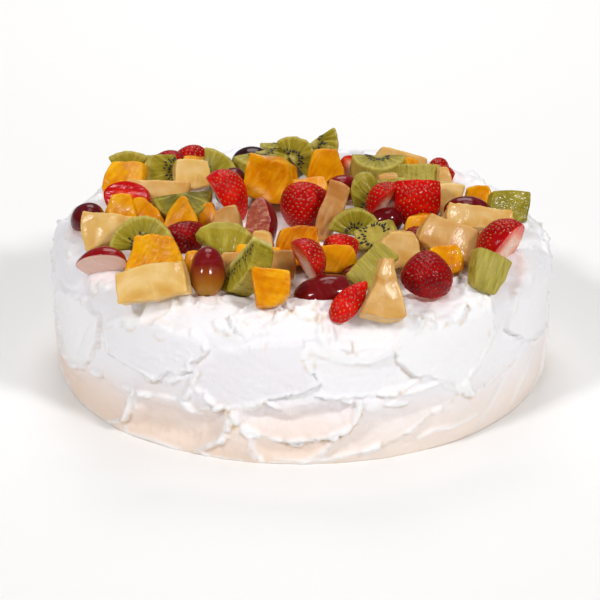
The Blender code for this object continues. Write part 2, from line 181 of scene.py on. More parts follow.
# The fruit that is cut in slabs: colours from light to dark flesh, and the spacing of its fibres along,
# across and through them, per millimetre.
flesh = {
    # Ripe kiwi, peeled and cut wet: pale core, fine pale rays through olive green, half clear flesh. The rays
    # are about 1.4 mm apart, and the peeled outside has ribs of the same width.
    "kiwi": {
        "name": "kiwi flesh cut wet",
        "clearness": 0.25, "glow": (1.0, 0.8, 0.25), "depth": 0.002, "juice": 0.09,
        "fibres": (0.08, 0.72, 0.2), "clouds": 0.16, "cloudShare": 0.2, "byZone": True,
        "light": ((0.10, "#D9CF8C"), (0.24, "#CDC068"), (0.36, "#8A7A14"), (0.52, "#92831A"),
                  (0.74, "#A29228"), (0.98, "#AE9C30"), (1.0, "#BDAC50")),
        "dark": ((0.10, "#A89B50"), (0.24, "#8F812C"), (0.36, "#554A04"), (0.52, "#5C5306"),
                 (0.74, "#6C6208"), (0.98, "#7A6E0E"), (1.0, "#93862A")),
        "streak": (0.50, 0.70, 0.5, "#CFC258"), "valley": "#6A6404",
        "fine": (0.45, 1.5, 0.8), "gloss": (0.16, 0.42), "relief": (0.8, 0.0005),
    },
    # Tinned pineapple: pale amber yellow, waxy and half clear, with soft fibres about 2 mm apart that run
    # out from the core. The clear parts look deeper in colour, the fibres paler.
    "pineapple": {
        "name": "tinned pineapple flesh",
        "clearness": 0.5, "glow": (1.0, 0.7, 0.3), "depth": 0.004, "juice": 0.14,
        "fibres": (0.07, 0.5, 0.3), "clouds": 0.14, "cloudShare": 1.0,
        "light": ((0.28, "#DAAA54"), (0.5, "#E4BE6E"), (0.74, "#EED296")),
        "dark": ((0.28, "#AE6A2C"), (0.5, "#C28648"), (0.74, "#D4A268")),
        "streak": (0.5, 0.74, 0.3, "#F6E2B4"),
        "fine": (0.4, 1.3, 0.8), "gloss": (0.22, 0.48), "relief": (0.35, 0.0004),
    },
    # Tinned peach: strong yellow orange, slippery, with faint fibres about 2.5 mm apart and a wet shine.
    "peach": {
        "name": "tinned peach flesh",
        "clearness": 0.35, "glow": (1.0, 0.6, 0.1), "depth": 0.003, "juice": 0.08,
        "fibres": (0.08, 0.42, 0.3), "clouds": 0.14, "cloudShare": 1.0,
        "light": ((0.28, "#D88000"), (0.5, "#E89C00"), (0.74, "#F2B408")),
        "dark": ((0.28, "#B45200"), (0.5, "#CC7000"), (0.74, "#E09004")),
        "streak": (0.5, 0.75, 0.45, "#FFCA30"),
        "fine": (0.4, 1.1, 0.8), "gloss": (0.14, 0.38), "relief": (0.6, 0.0005),
    },
}


def fleshMaterial(look):
    surface = wetSurface(look["clearness"], look["glow"], look["depth"], 0.35, look["juice"], 0.1)
    material, tree, shader = newMaterial(look["name"], surface)
    grain, skin, zone, tone = fruitInputs(tree)
    fibres = fibreNoise(tree, grain, look["fibres"])
    fine = fibreNoise(tree, grain, look["fine"], 0.5)
    clouds = addNode(tree, "TexNoise", {"Vector": grain, "Scale": look["clouds"], "Detail": 2.0})[0]
    start = zone if look.get("byZone") else 0.0  # kiwi changes from core to rim, the others in soft clouds
    blend = {0: clouds, 1: look["cloudShare"], 2: start}
    place = addNode(tree, "Math", blend, operation="MULTIPLY_ADD")[0]
    light = addNode(tree, "ValToRGB", {0: place}, look["light"])[0]
    dark = addNode(tree, "ValToRGB", {0: place}, look["dark"])[0]
    mixed = addNode(tree, "Mix", {0: tone, 6: light, 7: dark}, data_type="RGBA")[2]
    low, high, most, pale = look["streak"]
    streak = addNode(tree, "MapRange", {0: fibres, 1: low, 2: high, 3: 0.0, 4: most})[0]
    colour = addNode(tree, "Mix", {0: streak, 6: mixed, 7: linear(pale)}, data_type="RGBA")[2]
    if "valley" in look:  # the clear flesh between the rays
        valley = addNode(tree, "MapRange", {0: fibres, 1: 0.30, 2: 0.46, 3: 0.55, 4: 0.0})[0]
        deeper = {0: valley, 6: colour, 7: linear(look["valley"])}
        colour = addNode(tree, "Mix", deeper, data_type="RGBA")[2]
    low, high = look["gloss"]
    wet = addNode(tree, "MapRange", {0: fine, 1: 0.3, 2: 0.7, 3: low, 4: high})[0]
    setInputs(tree, shader, {"Base Color": colour, "Roughness": wet})
    height = addNode(tree, "Math", {0: fibres, 1: fine}, operation="ADD")[0]
    addRelief(tree, shader, height, *look["relief"])
    return material


# Strawberry: glossy deep red skin, dimpled round its pips; cut flesh goes from a pale heart through salmon
# to red, with pale threads running out to the skin.
strawberry = {
    "bright": ((0.3, "#B40207"), (0.55, "#CE0A0A"), (0.8, "#E8220E")),
    "deep": ((0.3, "#5C0008"), (0.55, "#7C020A"), (0.8, "#98060A")),
    "cut": ((0.0, "#F2D0BC"), (0.28, "#EEAE90"), (0.48, "#E66A46"), (0.66, "#D82A12"), (0.84, "#C00A08")),
    "threads": (0.12, 0.7, 0.5),
}


def strawberryMaterial():
    surface = wetSurface(0.1, (1.0, 0.2, 0.1), 0.0015, 0.4, 0.09, 0.05)
    material, tree, shader = newMaterial("strawberry skin and cut flesh", surface)
    grain, skin, zone, tone = fruitInputs(tree)
    cloud = addNode(tree, "TexNoise", {"Vector": grain, "Scale": 0.16, "Detail": 2.0})[0]
    bright = addNode(tree, "ValToRGB", {0: cloud}, strawberry["bright"])[0]
    deep = addNode(tree, "ValToRGB", {0: cloud}, strawberry["deep"])[0]
    outside = addNode(tree, "Mix", {0: tone, 6: bright, 7: deep}, data_type="RGBA")[2]
    threads = fibreNoise(tree, grain, strawberry["threads"])
    shifted = addNode(tree, "Math", {0: threads, 1: -0.3, 2: zone}, operation="MULTIPLY_ADD")[0]
    inside = addNode(tree, "ValToRGB", {0: shifted}, strawberry["cut"])[0]
    colour = addNode(tree, "Mix", {0: skin, 6: inside, 7: outside}, data_type="RGBA")[2]
    fine = addNode(tree, "TexNoise", {"Vector": grain, "Scale": 0.8, "Detail": 3.0})[0]
    wet = addNode(tree, "MapRange", {0: fine, 1: 0.3, 2: 0.7, 3: 0.16, 4: 0.36})[0]
    setInputs(tree, shader, {"Base Color": colour, "Roughness": wet})
    addRelief(tree, shader, threads, 0.5, 0.0004)
    return material


# Red grape: thin taut skin with a trace of bloom, from deep purple red to amber at one end; the cut face is
# amber jelly with fine threads.
grape = {
    "red": ((0.0, "#8C060C"), (0.42, "#84120E"), (0.66, "#97480E"), (1.0, "#AD7418")),
    "purple": ((0.0, "#2C050C"), (0.42, "#46080E"), (0.66, "#66290C"), (1.0, "#7C5412")),
    "bloom": "#A06070",
    "amberCut": ((0.3, "#A04A26"), (0.55, "#B86040"), (0.8, "#D89C70")),
    "rosyCut": ((0.3, "#A82A22"), (0.5, "#C24E3C"), (0.66, "#E6A488")),
    "paleCut": "#EACDBC",  # of the lightest grapes
    "threads": (0.15, 0.6, 0.5),
}


def grapeMaterial():
    surface = wetSurface(0.15, (1.0, 0.4, 0.15), 0.003, 0.6, 0.07, 0.1)
    material, tree, shader = newMaterial("red grape skin and cut flesh", surface)
    grain, skin, zone, tone = fruitInputs(tree)
    bloom = addNode(tree, "TexNoise", {"Vector": grain, "Scale": 0.3, "Detail": 4.0})[0]
    red = addNode(tree, "ValToRGB", {0: zone}, grape["red"])[0]
    purple = addNode(tree, "ValToRGB", {0: zone}, grape["purple"])[0]
    ripe = addNode(tree, "Mix", {0: tone, 6: red, 7: purple}, data_type="RGBA")[2]
    dust = addNode(tree, "MapRange", {0: bloom, 1: 0.5, 2: 0.8, 3: 0.0, 4: 0.12})[0]
    outside = addNode(tree, "Mix", {0: dust, 6: ripe, 7: linear(grape["bloom"])}, data_type="RGBA")[2]
    threads = fibreNoise(tree, grain, grape["threads"])
    amber = addNode(tree, "ValToRGB", {0: threads}, grape["amberCut"])[0]
    rosy = addNode(tree, "ValToRGB", {0: threads}, grape["rosyCut"])[0]
    jelly = addNode(tree, "Mix", {0: zone, 6: rosy, 7: amber}, data_type="RGBA")[2]
    pale = addNode(tree, "MapRange", {0: tone, 1: 0.0, 2: 0.4, 3: 0.8, 4: 0.0})[0]
    inside = addNode(tree, "Mix", {0: pale, 6: jelly, 7: linear(grape["paleCut"])}, data_type="RGBA")[2]
    colour = addNode(tree, "Mix", {0: skin, 6: inside, 7: outside}, data_type="RGBA")[2]
    gloss = addNode(tree, "MapRange", {0: bloom, 1: 0.3, 2: 0.8, 3: 0.16, 4: 0.34})[0]
    setInputs(tree, shader, {"Base Color": colour, "Roughness": gloss})
    addRelief(tree, shader, threads, 0.15, 0.0002)
    return material


# Whipped cream icing: white with a breath of cool lilac higher up and a warm peach tint low down, which is
# painted reflected light from a plate, satin, with pin holes about 0.5 mm wide and painted tan shade in the
# creases.
icing = {
    # painted reflected light: the warm peach stops at the foot stand for a plate's light bounced onto the
    # icing
    "spread": ((0.0, "#F3DDCB"), (0.35, "#F2E2D9"), (0.9, "#F2EFF3")),  # from the foot upwards
    # the crease colour is painted tan shade in the folds under the lips; the fresh white is partly painted
    # highlight on lips and ridges
    "freshAndLit": "#FAF9FA", "creaseShade": "#DCC39C", "stain": "#F2CFC8",
}


def creamMaterial():
    material, tree, shader = newMaterial("whipped cream icing", {
        "Subsurface Weight": 0.12, "Subsurface Radius": (1.0, 0.8, 0.65), "Subsurface Scale": 0.0015,
        "Specular IOR Level": 0.3, "IOR": 1.45,
    })
    place = addNode(tree, "TexCoord", {})["Object"]
    height = addNode(tree, "SeparateXYZ", {0: place})[2]
    look = addNode(tree, "Attribute", {}, attribute_name="look")["Vector"]
    creaseShade, stain, freshAndLit = addNode(tree, "SeparateXYZ", {0: look})
    patchy = addNode(tree, "TexNoise", {"Vector": place, "Scale": 45.0, "Detail": 2.0})[0]
    # painted reflected light: the lowest 42 mm of icing take the warm peach end of the ramp
    upwards = {0: height, 1: 0.0, 2: 0.042, 3: -0.1, 4: 0.85}
    low = addNode(tree, "MapRange", upwards, interpolation_type="SMOOTHSTEP")[0]
    mixed = addNode(tree, "Math", {0: patchy, 1: 0.3, 2: low}, operation="MULTIPLY_ADD")[0]
    colour = addNode(tree, "ValToRGB", {0: mixed}, icing["spread"])[0]
    # painted light and shade: tan shade in the folds, a whiter highlight on lips and ridges mixed with fresh
    # white, and juice stain
    for share, kind in ((freshAndLit, "freshAndLit"), (creaseShade, "creaseShade"), (stain, "stain")):
        colour = addNode(tree, "Mix", {0: share, 6: colour, 7: linear(icing[kind])}, data_type="RGBA")[2]
    grainy = addNode(tree, "TexNoise", {"Vector": place, "Scale": 900.0, "Detail": 3.0})[0]
    satin = addNode(tree, "MapRange", {0: grainy, 1: 0.3, 2: 0.7, 3: 0.36, 4: 0.58})[0]
    holes = addNode(tree, "TexVoronoi", {"Vector": place, "Scale": 150.0, "Randomness": 1.0})["Distance"]
    pits = addNode(tree, "MapRange", {0: holes, 1: 0.03, 2: 0.12, 3: -1.0, 4: 0.0})[0]
    relief = addNode(tree, "Math", {0: pits, 1: 1.2, 2: grainy}, operation="MULTIPLY_ADD")[0]
    bump = addNode(tree, "Bump", {"Height": relief, "Strength": 0.4, "Distance": 0.0003})[0]
    setInputs(tree, shader, {"Base Color": colour, "Roughness": satin, "Normal": bump})
    return material


def speckMaterial(name, low, high, gloss):
    # Small hard things: kiwi seeds, strawberry pips and the stalk scar of a grape.
    surface = {"Roughness": gloss, "Coat Weight": 0.3, "Coat Roughness": 0.2}
    material, tree, shader = newMaterial(name, surface)
    place = addNode(tree, "TexCoord", {})["Object"]
    patchy = addNode(tree, "TexNoise", {"Vector": place, "Scale": 700.0, "Detail": 2.0})[0]
    colour = addNode(tree, "ValToRGB", {0: patchy}, ((0.35, low), (0.65, high)))[0]
    setInputs(tree, shader, {"Base Color": colour})
    return material


materials = {fruit: fleshMaterial(flesh[fruit]) for fruit in flesh} | {
    "strawberry": strawberryMaterial(),
    "grape": grapeMaterial(),
    "cream": creamMaterial(),
    "seed": speckMaterial("kiwi seed shell", "#0C0708", "#221519", 0.3),  # hard, near black, shining
    "pip": speckMaterial("strawberry pip", "#8A6218", "#C49A38", 0.4),  # dry straw-coloured husk
    "darkPip": speckMaterial("ripe strawberry pip", "#3A1A0C", "#7E5A1E", 0.4),  # the same, browned
    "scar": speckMaterial("grape stalk scar", "#3E2A12", "#8A6A3A", 0.7),  # dry cork
}
print("materials made")


# How a slab of each fruit is finished: mesh step, edge rounding, warp of the whole piece, and how close its
# fibres and lumps lie.
sliced = {
    "kiwi": {"step": 0.5, "rounding": 0.7, "warp": 0.8, "fibres": (0.14, 0.75, 0.1), "lumps": 0.22},
    "pineapple": {"step": 0.6, "rounding": 0.8, "warp": 1.8, "fibres": (0.12, 0.5, 0.2), "lumps": 0.2},
    "peach": {"step": 0.6, "rounding": 0.9, "warp": 2.2, "fibres": (0.10, 0.34, 0.2), "lumps": 0.16},
}
rounded = {  # the same for round fruit: mesh step, where the widest part lies, distance between pips
    "strawberry": {"step": 0.45, "pull": 1.45, "pips": 2.6, "dimple": 0.45},
    "grape": {"step": 0.55, "pull": 1.0},
}
cuts = {  # planes through a round fruit as (x, y, z, distance); what lies past one is gone
    "whole": (),
    "half": ((0, 0, 1, 0),),
    "most": ((0, 0, 1, 4),),
    "slice": ((0, 0, 1, 4), (0, 0, -1, 4)),
    "block": ((0, 0, -1, 0), (0, 1, 0, 9), (1, 0, 0, 11), (-1, 0, 0, 11)),
    "docked": ((0, 0, 1, 0), (0, 1, 0, 11)),
}


def arcPoints(radius, start, end, steps):
    angles = (math.radians(start + (end - start) * i / steps) for i in range(steps + 1))
    return [(radius * math.cos(a), radius * math.sin(a)) for a in angles]


def outlineOf(form, sizes):
    # The outline of a slab in its own plane, and its thickness.
    if form == "wedge":  # part of a round slice, about its core
        radius, start, end, thick = sizes
        points = arcPoints(radius, start, end, max(5, round((end - start) / 15)))
        return (points if end - start == 180 else points + [(0, 0)]), thick
    if form == "fan":  # part of a pineapple ring
        inner, outer, angle, thick = sizes
        left, right = 90 + angle / 2, 90 - angle / 2
        return arcPoints(outer, right, left, 6) + arcPoints(inner, left, right, 2), thick
    if form == "oval":
        width, height, thick = sizes
        return [(x * width / 2, y * height / 2) for x, y in arcPoints(1, 0, 345, 23)], thick
    bottom, top, height, thick, shift = sizes  # a four-sided cut, its sides a little bowed
    low, high = -height / 2, height / 2
    corners = [(bottom / 2, low), (top / 2 + shift, high), (-top / 2 + shift, high), (-bottom / 2, low)]
    bow = 0.04 * height
    points = []
    for start, end in zip(corners, corners[1:] + corners[:1]):
        length = math.dist(start, end)
        along = ((end[0] - start[0]) / length, (end[1] - start[1]) / length)
        half = ((start[0] + end[0]) / 2, (start[1] + end[1]) / 2)
        points += [start, (half[0] + bow * along[1], half[1] - bow * along[0])]
    return points, thick


def middleOf(outline):
    return [(min(axis) + max(axis)) / 2 for axis in zip(*outline)]


def cutSlab(name, fruit, form, sizes, seed, look):
    settings = sliced[fruit]
    outline, thick = outlineOf(form, sizes)
    middle = middleOf(outline)
    clearSelection()
    bpy.ops.mesh.primitive_circle_add(
        vertices=len(outline), radius=0.01, fill_type="NGON", location=(0, 0, 0))
    piece = bpy.context.object
    piece.name = name
    for vertex, (x, y) in zip(piece.data.vertices, outline):
        vertex.co = ((x - middle[0]) * mm, (y - middle[1]) * mm, -thick * mm / 2)
    with editMode():
        bpy.ops.mesh.select_all(action="SELECT")
        bpy.ops.mesh.extrude_region_move(TRANSFORM_OT_translate={"value": (0, 0, thick * mm)})
        turnFacesOut()
    sharp = math.radians(28)  # edges that turn by more than this are rounded
    width = settings["rounding"] * mm
    finishWith(piece, "BEVEL", width=width, segments=2, limit_method="ANGLE", angle_limit=sharp)
    finishWith(piece, "REMESH", mode="VOXEL", voxel_size=settings["step"] * mm)
    finishWith(piece, "SMOOTH", factor=0.5, iterations=3)
    core = look.get("core") or ((-middle[0], -middle[1]) if form in ("wedge", "fan") else (0, -24))
    reach = look.get("reach") or {"wedge": sizes[0], "fan": sizes[1]}.get(form, 17)
    roughenSlab(piece, fruit, core, reach, seed, look)
    points = readPoints(piece) / mm
    where = points * 0.07 + np.array((seed * 3.1, seed * 1.7, 0))
    for axis in range(3):  # the same slow warp as the solid has
        shifted = where + np.array((0, 0, 9.3 * axis))
        points[:, axis] += settings["warp"] * np.array([noise.noise(place) for place in shifted.tolist()])
    writePoints(piece, points * mm)
    return piece


def fibreFrame(points, core, look):
    # Along the fibres from the core, across them, and through the slab.
    x, y = points[:, 0] - core[0], points[:, 1] - core[1]
    if look.get("lengthwise"):  # cut along the fruit: its core runs across the slab
        return np.column_stack((np.abs(y), x, points[:, 2]))
    if "fibres" in look:  # straight fibres at an angle
        turn = math.radians(look["fibres"])
        along, across = x * math.cos(turn) + y * math.sin(turn), y * math.cos(turn) - x * math.sin(turn)
        return np.column_stack((along, across, points[:, 2]))
    return np.column_stack((np.hypot(x, y), np.arctan2(y, x) * 9, points[:, 2]))


def roughenSlab(piece, fruit, core, reach, seed, look):
    # Fibres on the flat cuts and a rougher outside; says where the fibres run and what is cut.
    points, normals = readPoints(piece) / mm, readPoints(piece, "normal")
    if fruit == "peach":  # its fibres run straight through a piece
        core, look = (0, 0), {"fibres": 60} | look
    grain = fibreFrame(points, core, look)
    flat = smoothStep(0.55, 0.85, np.abs(normals[:, 2]))
    fibres = roughness(grain, sliced[fruit]["fibres"], seed)
    lumps = roughness(points, sliced[fruit]["lumps"], seed + 40)
    if fruit == "kiwi":  # rays outside the core, ribs where it was peeled
        zone = np.clip(grain[:, 0] / reach, 0, 1)
        rays = fibres * look.get("ribs", 1.0)
        fine = roughness(points, 0.9, seed + 80) * look.get("wet", 0.5)
        height = flat * smoothStep(0.2, 0.5, zone) * 0.32 * rays + 0.1 * fine + 0.12 * lumps
        height += (1 - flat) * (0.2 * rays + 0.15 * lumps)
    elif fruit == "pineapple":  # torn where it was cut across
        zone = np.clip(grain[:, 0] / 40, 0, 1)
        torn = roughness(points, 0.55, seed + 60) * look.get("ragged", 0.5)
        height = 0.2 * fibres + 0.2 * lumps + (1 - flat) * 0.4 * torn
    else:
        zone = np.clip(0.5 + lumps, 0, 1)
        torn = (1 - 2 * np.abs(roughness(grain, (0.3, 0.5, 0.4), seed + 60))) * look.get("rough", 0.1)
        height = 0.22 * fibres + 0.4 * lumps + 0.55 * torn
    writePoints(piece, (points + normals * height[:, None]) * mm)
    writeAttribute(piece, "grain", grain)
    writeAttribute(piece, "look", np.column_stack((1 - flat, zone, np.full(len(points), look["tone"]))))


def roundForm(point, length, width, pull, seed):
    # From the unit ball to a fruit with its length along y and the stalk at +y, as the solid has it.
    x, z, height = point
    along = (max(0, (height + 1) / 2)) ** (1 / pull)
    swell = 1 + 0.05 * noise.noise(Vector((x, height, z)) * 1.1 + Vector((seed, 0, 0)))
    radius = swell * width / 2
    return Vector((x * radius, (along - 0.5) * length, -z * radius))


def cutBall(name, fruit, form, sizes, seed, look):
    settings = rounded[fruit]
    length, width = sizes
    clearSelection()
    bpy.ops.mesh.primitive_uv_sphere_add(segments=40, ring_count=28, radius=1, location=(0, 0, 0))
    piece = bpy.context.object
    piece.name = name
    for vertex in piece.data.vertices:
        vertex.co = roundForm(vertex.co, length, width, settings["pull"], seed) * mm
    with editMode():
        for x, y, z, distance in cuts[form]:
            at = Vector((x, y, z)) * distance * mm
            bpy.ops.mesh.select_all(action="SELECT")
            bpy.ops.mesh.bisect(plane_co=at, plane_no=(x, y, z), use_fill=True, clear_outer=True)
        turnFacesOut()
    finishWith(piece, "REMESH", mode="VOXEL", voxel_size=settings["step"] * mm)
    finishWith(piece, "SMOOTH", factor=0.5, iterations=2)
    points, normals = readPoints(piece) / mm, readPoints(piece, "normal")
    middle = (points.min(0) + points.max(0)) / 2
    inside = np.full(len(points), 9.0)  # distance from the nearest cut
    for x, y, z, distance in cuts[form]:
        inside = np.minimum(inside, distance - points @ np.array((x, y, z)))
    skin = smoothStep(0.2, 0.75, inside)
    around = np.hypot(points[:, 0], points[:, 2])
    across = np.arctan2(points[:, 2], points[:, 0]) * 5 + points[:, 1] * 0.7
    grain = np.column_stack((around, across, points[:, 1]))
    height = 0.25 * roughness(points, 0.14, seed + 20)
    pips = []
    if fruit == "strawberry":
        pips = pipPlaces(surfaceOf(piece, points), form, length, width, settings, seed)
        height -= skin * settings["dimple"] * np.exp(-(distanceTo(pips, points) / 0.9) ** 2)
        height += (1 - skin) * 0.2 * roughness(grain, (0.2, 0.7, 0.5), seed)
        lengthwise = np.abs(points[:, 1] + 0.1 * length) / (0.62 * length)
        zone = np.clip(np.maximum(around / (width / 2), lengthwise), 0, 1)
        redness = look.get("redness", 1.0)
        zone = zone * redness + 0.15 * (redness - 1)
    else:
        end = look.get("amber", 0)  # -1 or 1: the end that stayed amber
        zone = np.clip(0.5 + end * points[:, 1] / length * 1.25, 0, 1) * abs(end)
        height += (1 - skin) * 0.12 * roughness(points, 0.4, seed)
        height -= 0.5 * np.exp(-((points[:, 1] + 0.5 * length) / 1.0) ** 2)
        height -= 0.3 * (1 - skin)
    writeAttribute(piece, "grain", grain)
    writeAttribute(piece, "look", np.column_stack((skin, zone, np.full(len(points), look["tone"]))))
    writePoints(piece, (points + normals * height[:, None] - middle) * mm)
    shift = Vector((-middle).tolist())
    if look.get("scar"):
        scarAt = Vector((0, look["scar"] * (length / 2 - 0.5), 0)) + shift
        addSpecks(piece, "scar", [(scarAt, Vector((0, look["scar"], 0)), Vector((1, 0, 0)))])
    if pips:
        sunk = [(place + shift - normal * 0.32, normal, Vector((0, 1, 0))) for place, normal in pips]
        addSpecks(piece, "darkPip" if look["tone"] > 0.55 else "pip", sunk)
    return piece


def pipPlaces(surface, form, length, width, settings, seed):
    # Pips wind round the fruit at an even distance; those on a cut or near its edge are left out.
    draw = random.Random(seed)
    count = round(2.6 * length * width / settings["pips"] ** 2 / 0.87)
    golden = 2.39996  # the angle from one pip to the next, in radians
    places = []
    for number in range(count):
        height = 1 - 2 * (number + 0.5) / count
        ring = math.sqrt(1 - height * height)
        unit = Vector((ring * math.cos(number * golden), ring * math.sin(number * golden), height))
        unit = (unit + Vector([draw.uniform(-0.03, 0.03) for axis in range(3)])).normalized()
        place = roundForm(unit, length, width, settings["pull"], seed)
        if height > 0.93 or any(place.dot(Vector(plane[:3])) > plane[3] - 0.7 for plane in cuts[form]):
            continue
        places.append(surface.find_nearest(place)[:2])
    return places


def distanceTo(pips, points):
    if not pips:
        return np.full(len(points), 99.0)
    tree = KDTree(len(pips))
    for number, (place, normal) in enumerate(pips):
        tree.insert(place, number)
    tree.balance()
    return np.array([tree.find(place)[2] for place in points.tolist()])


speckForms = {  # width, length and thickness, how much narrower the tip is, and the facets of the ball
    "seed": {"size": (1.0, 1.9, 0.8), "taper": 0.35, "facets": (10, 6)},
    "pip": {"size": (0.62, 1.0, 0.5), "taper": 0.2, "facets": (6, 4)},
    "darkPip": {"size": (0.62, 1.0, 0.5), "taper": 0.2, "facets": (6, 4)},
    "scar": {"size": (3.2, 3.2, 0.7), "taper": 0.0, "facets": (10, 6)},
}


def modelSpeck(kind):
    form = speckForms[kind]
    segments, rings = form["facets"]
    clearSelection()
    bpy.ops.mesh.primitive_uv_sphere_add(
        segments=segments, ring_count=rings, radius=0.5 * mm, location=(0, 0, 0))
    speck = bpy.context.object
    points = readPoints(speck)
    narrow = 1 - form["taper"] * points[:, 1] / (0.5 * mm)
    points *= np.array(form["size"])
    points[:, 0] *= narrow
    if kind == "scar":  # a ring with a sunk middle
        around = np.hypot(points[:, 0], points[:, 1]) / mm
        points[:, 2] -= 0.5 * mm * np.exp(-(around / 0.7) ** 2)
    faces = [tuple(face.vertices) for face in speck.data.polygons]
    bpy.data.objects.remove(speck)
    return points, faces


specks = {kind: modelSpeck(kind) for kind in speckForms}


def addSpecks(piece, kind, places):
    # Copies of one small model, each at (place, outwards, along) in mm, joined to the piece.
    points, faces = specks[kind]
    allPoints, allFaces = [], []
    for place, outwards, along in places:
        out = outwards.normalized()
        side = along.cross(out)
        side = side.normalized() if side.length > 1e-6 else out.orthogonal().normalized()
        forward = out.cross(side)
        matrix = np.array((side, forward, out))
        first = len(allPoints) * len(points)
        allPoints.append(points @ matrix + np.array(place) * mm)
        allFaces += [tuple(first + i for i in face) for face in faces]
    mesh = bpy.data.meshes.new("specks")
    mesh.from_pydata(np.concatenate(allPoints).tolist(), [], allFaces)
    mesh.shade_smooth()
    mesh.materials.append(materials[kind])
    extra = bpy.data.objects.new("specks", mesh)
    bpy.context.scene.collection.objects.link(extra)
    if not piece.data.materials:
        piece.data.materials.append(materials[piece.name.split("_")[0]])
    pick(piece, extra)
    bpy.ops.object.join()


def kiwiSeeds(piece, form, sizes, seed, look):
    # Seeds lie flat in the cut, pointing at the core, in two uneven rows.
    draw = random.Random(seed * 17 + 3)
    outline, thick = outlineOf(form, sizes)
    middle = middleOf(outline)
    core = look.get("core") or (-middle[0], -middle[1])
    reach = look.get("reach") or (sizes[0] if form == "wedge" else 16)
    surface = surfaceOf(piece, readPoints(piece) / mm)
    sunk = 0.12
    spots, places = [], []
    if look.get("lengthwise"):
        rows = [(x, core[1] + reach * draw.uniform(0.27, 0.38)) for x in np.arange(-reach, reach, 2.1)]
        inner = np.arange(-reach * 0.7, reach * 0.7, 4.3)
        rows += [(x, core[1] + reach * draw.uniform(0.42, 0.5)) for x in inner]
        spots = [(core[0] + x + draw.uniform(-0.5, 0.5), y, Vector((0, 1, 0))) for x, y in rows]
    else:
        for angle in np.arange(0, 360, 13.0):
            for share in ((0.36,) if draw.random() < 0.45 else (0.33, 0.46)):
                turn = math.radians(angle + draw.uniform(-5, 5) + 6 * (share > 0.4))
                distance = reach * (share + draw.uniform(-0.035, 0.035))
                direction = Vector((math.cos(turn), math.sin(turn), 0))
                spots.append((core[0] + distance * direction.x, core[1] + distance * direction.y, direction))
    for x, y, direction in spots:
        for side in (1, -1):
            hit, normal, index, far = surface.ray_cast(Vector((x, y, side * 30)), Vector((0, 0, -side)))
            if hit and abs(normal.z) > 0.8:
                places.append((hit - normal * sunk, normal, direction))
    if not look.get("lengthwise") and form == "wedge" and sizes[2] - sizes[1] == 180:
        for side in (-1, 1):  # the face through the core shows a few as well
            for level in np.arange(-thick / 2 + 1.6, thick / 2 - 1, 2.4):
                x = core[0] + side * reach * draw.uniform(0.33, 0.42)
                hit, normal, index, far = surface.ray_cast(Vector((x, -40, level)), Vector((0, 1, 0)))
                if hit and normal.y < -0.8:
                    places.append((hit - normal * sunk, normal, Vector((side, 0, 0))))
    if places:
        addSpecks(piece, "seed", places)


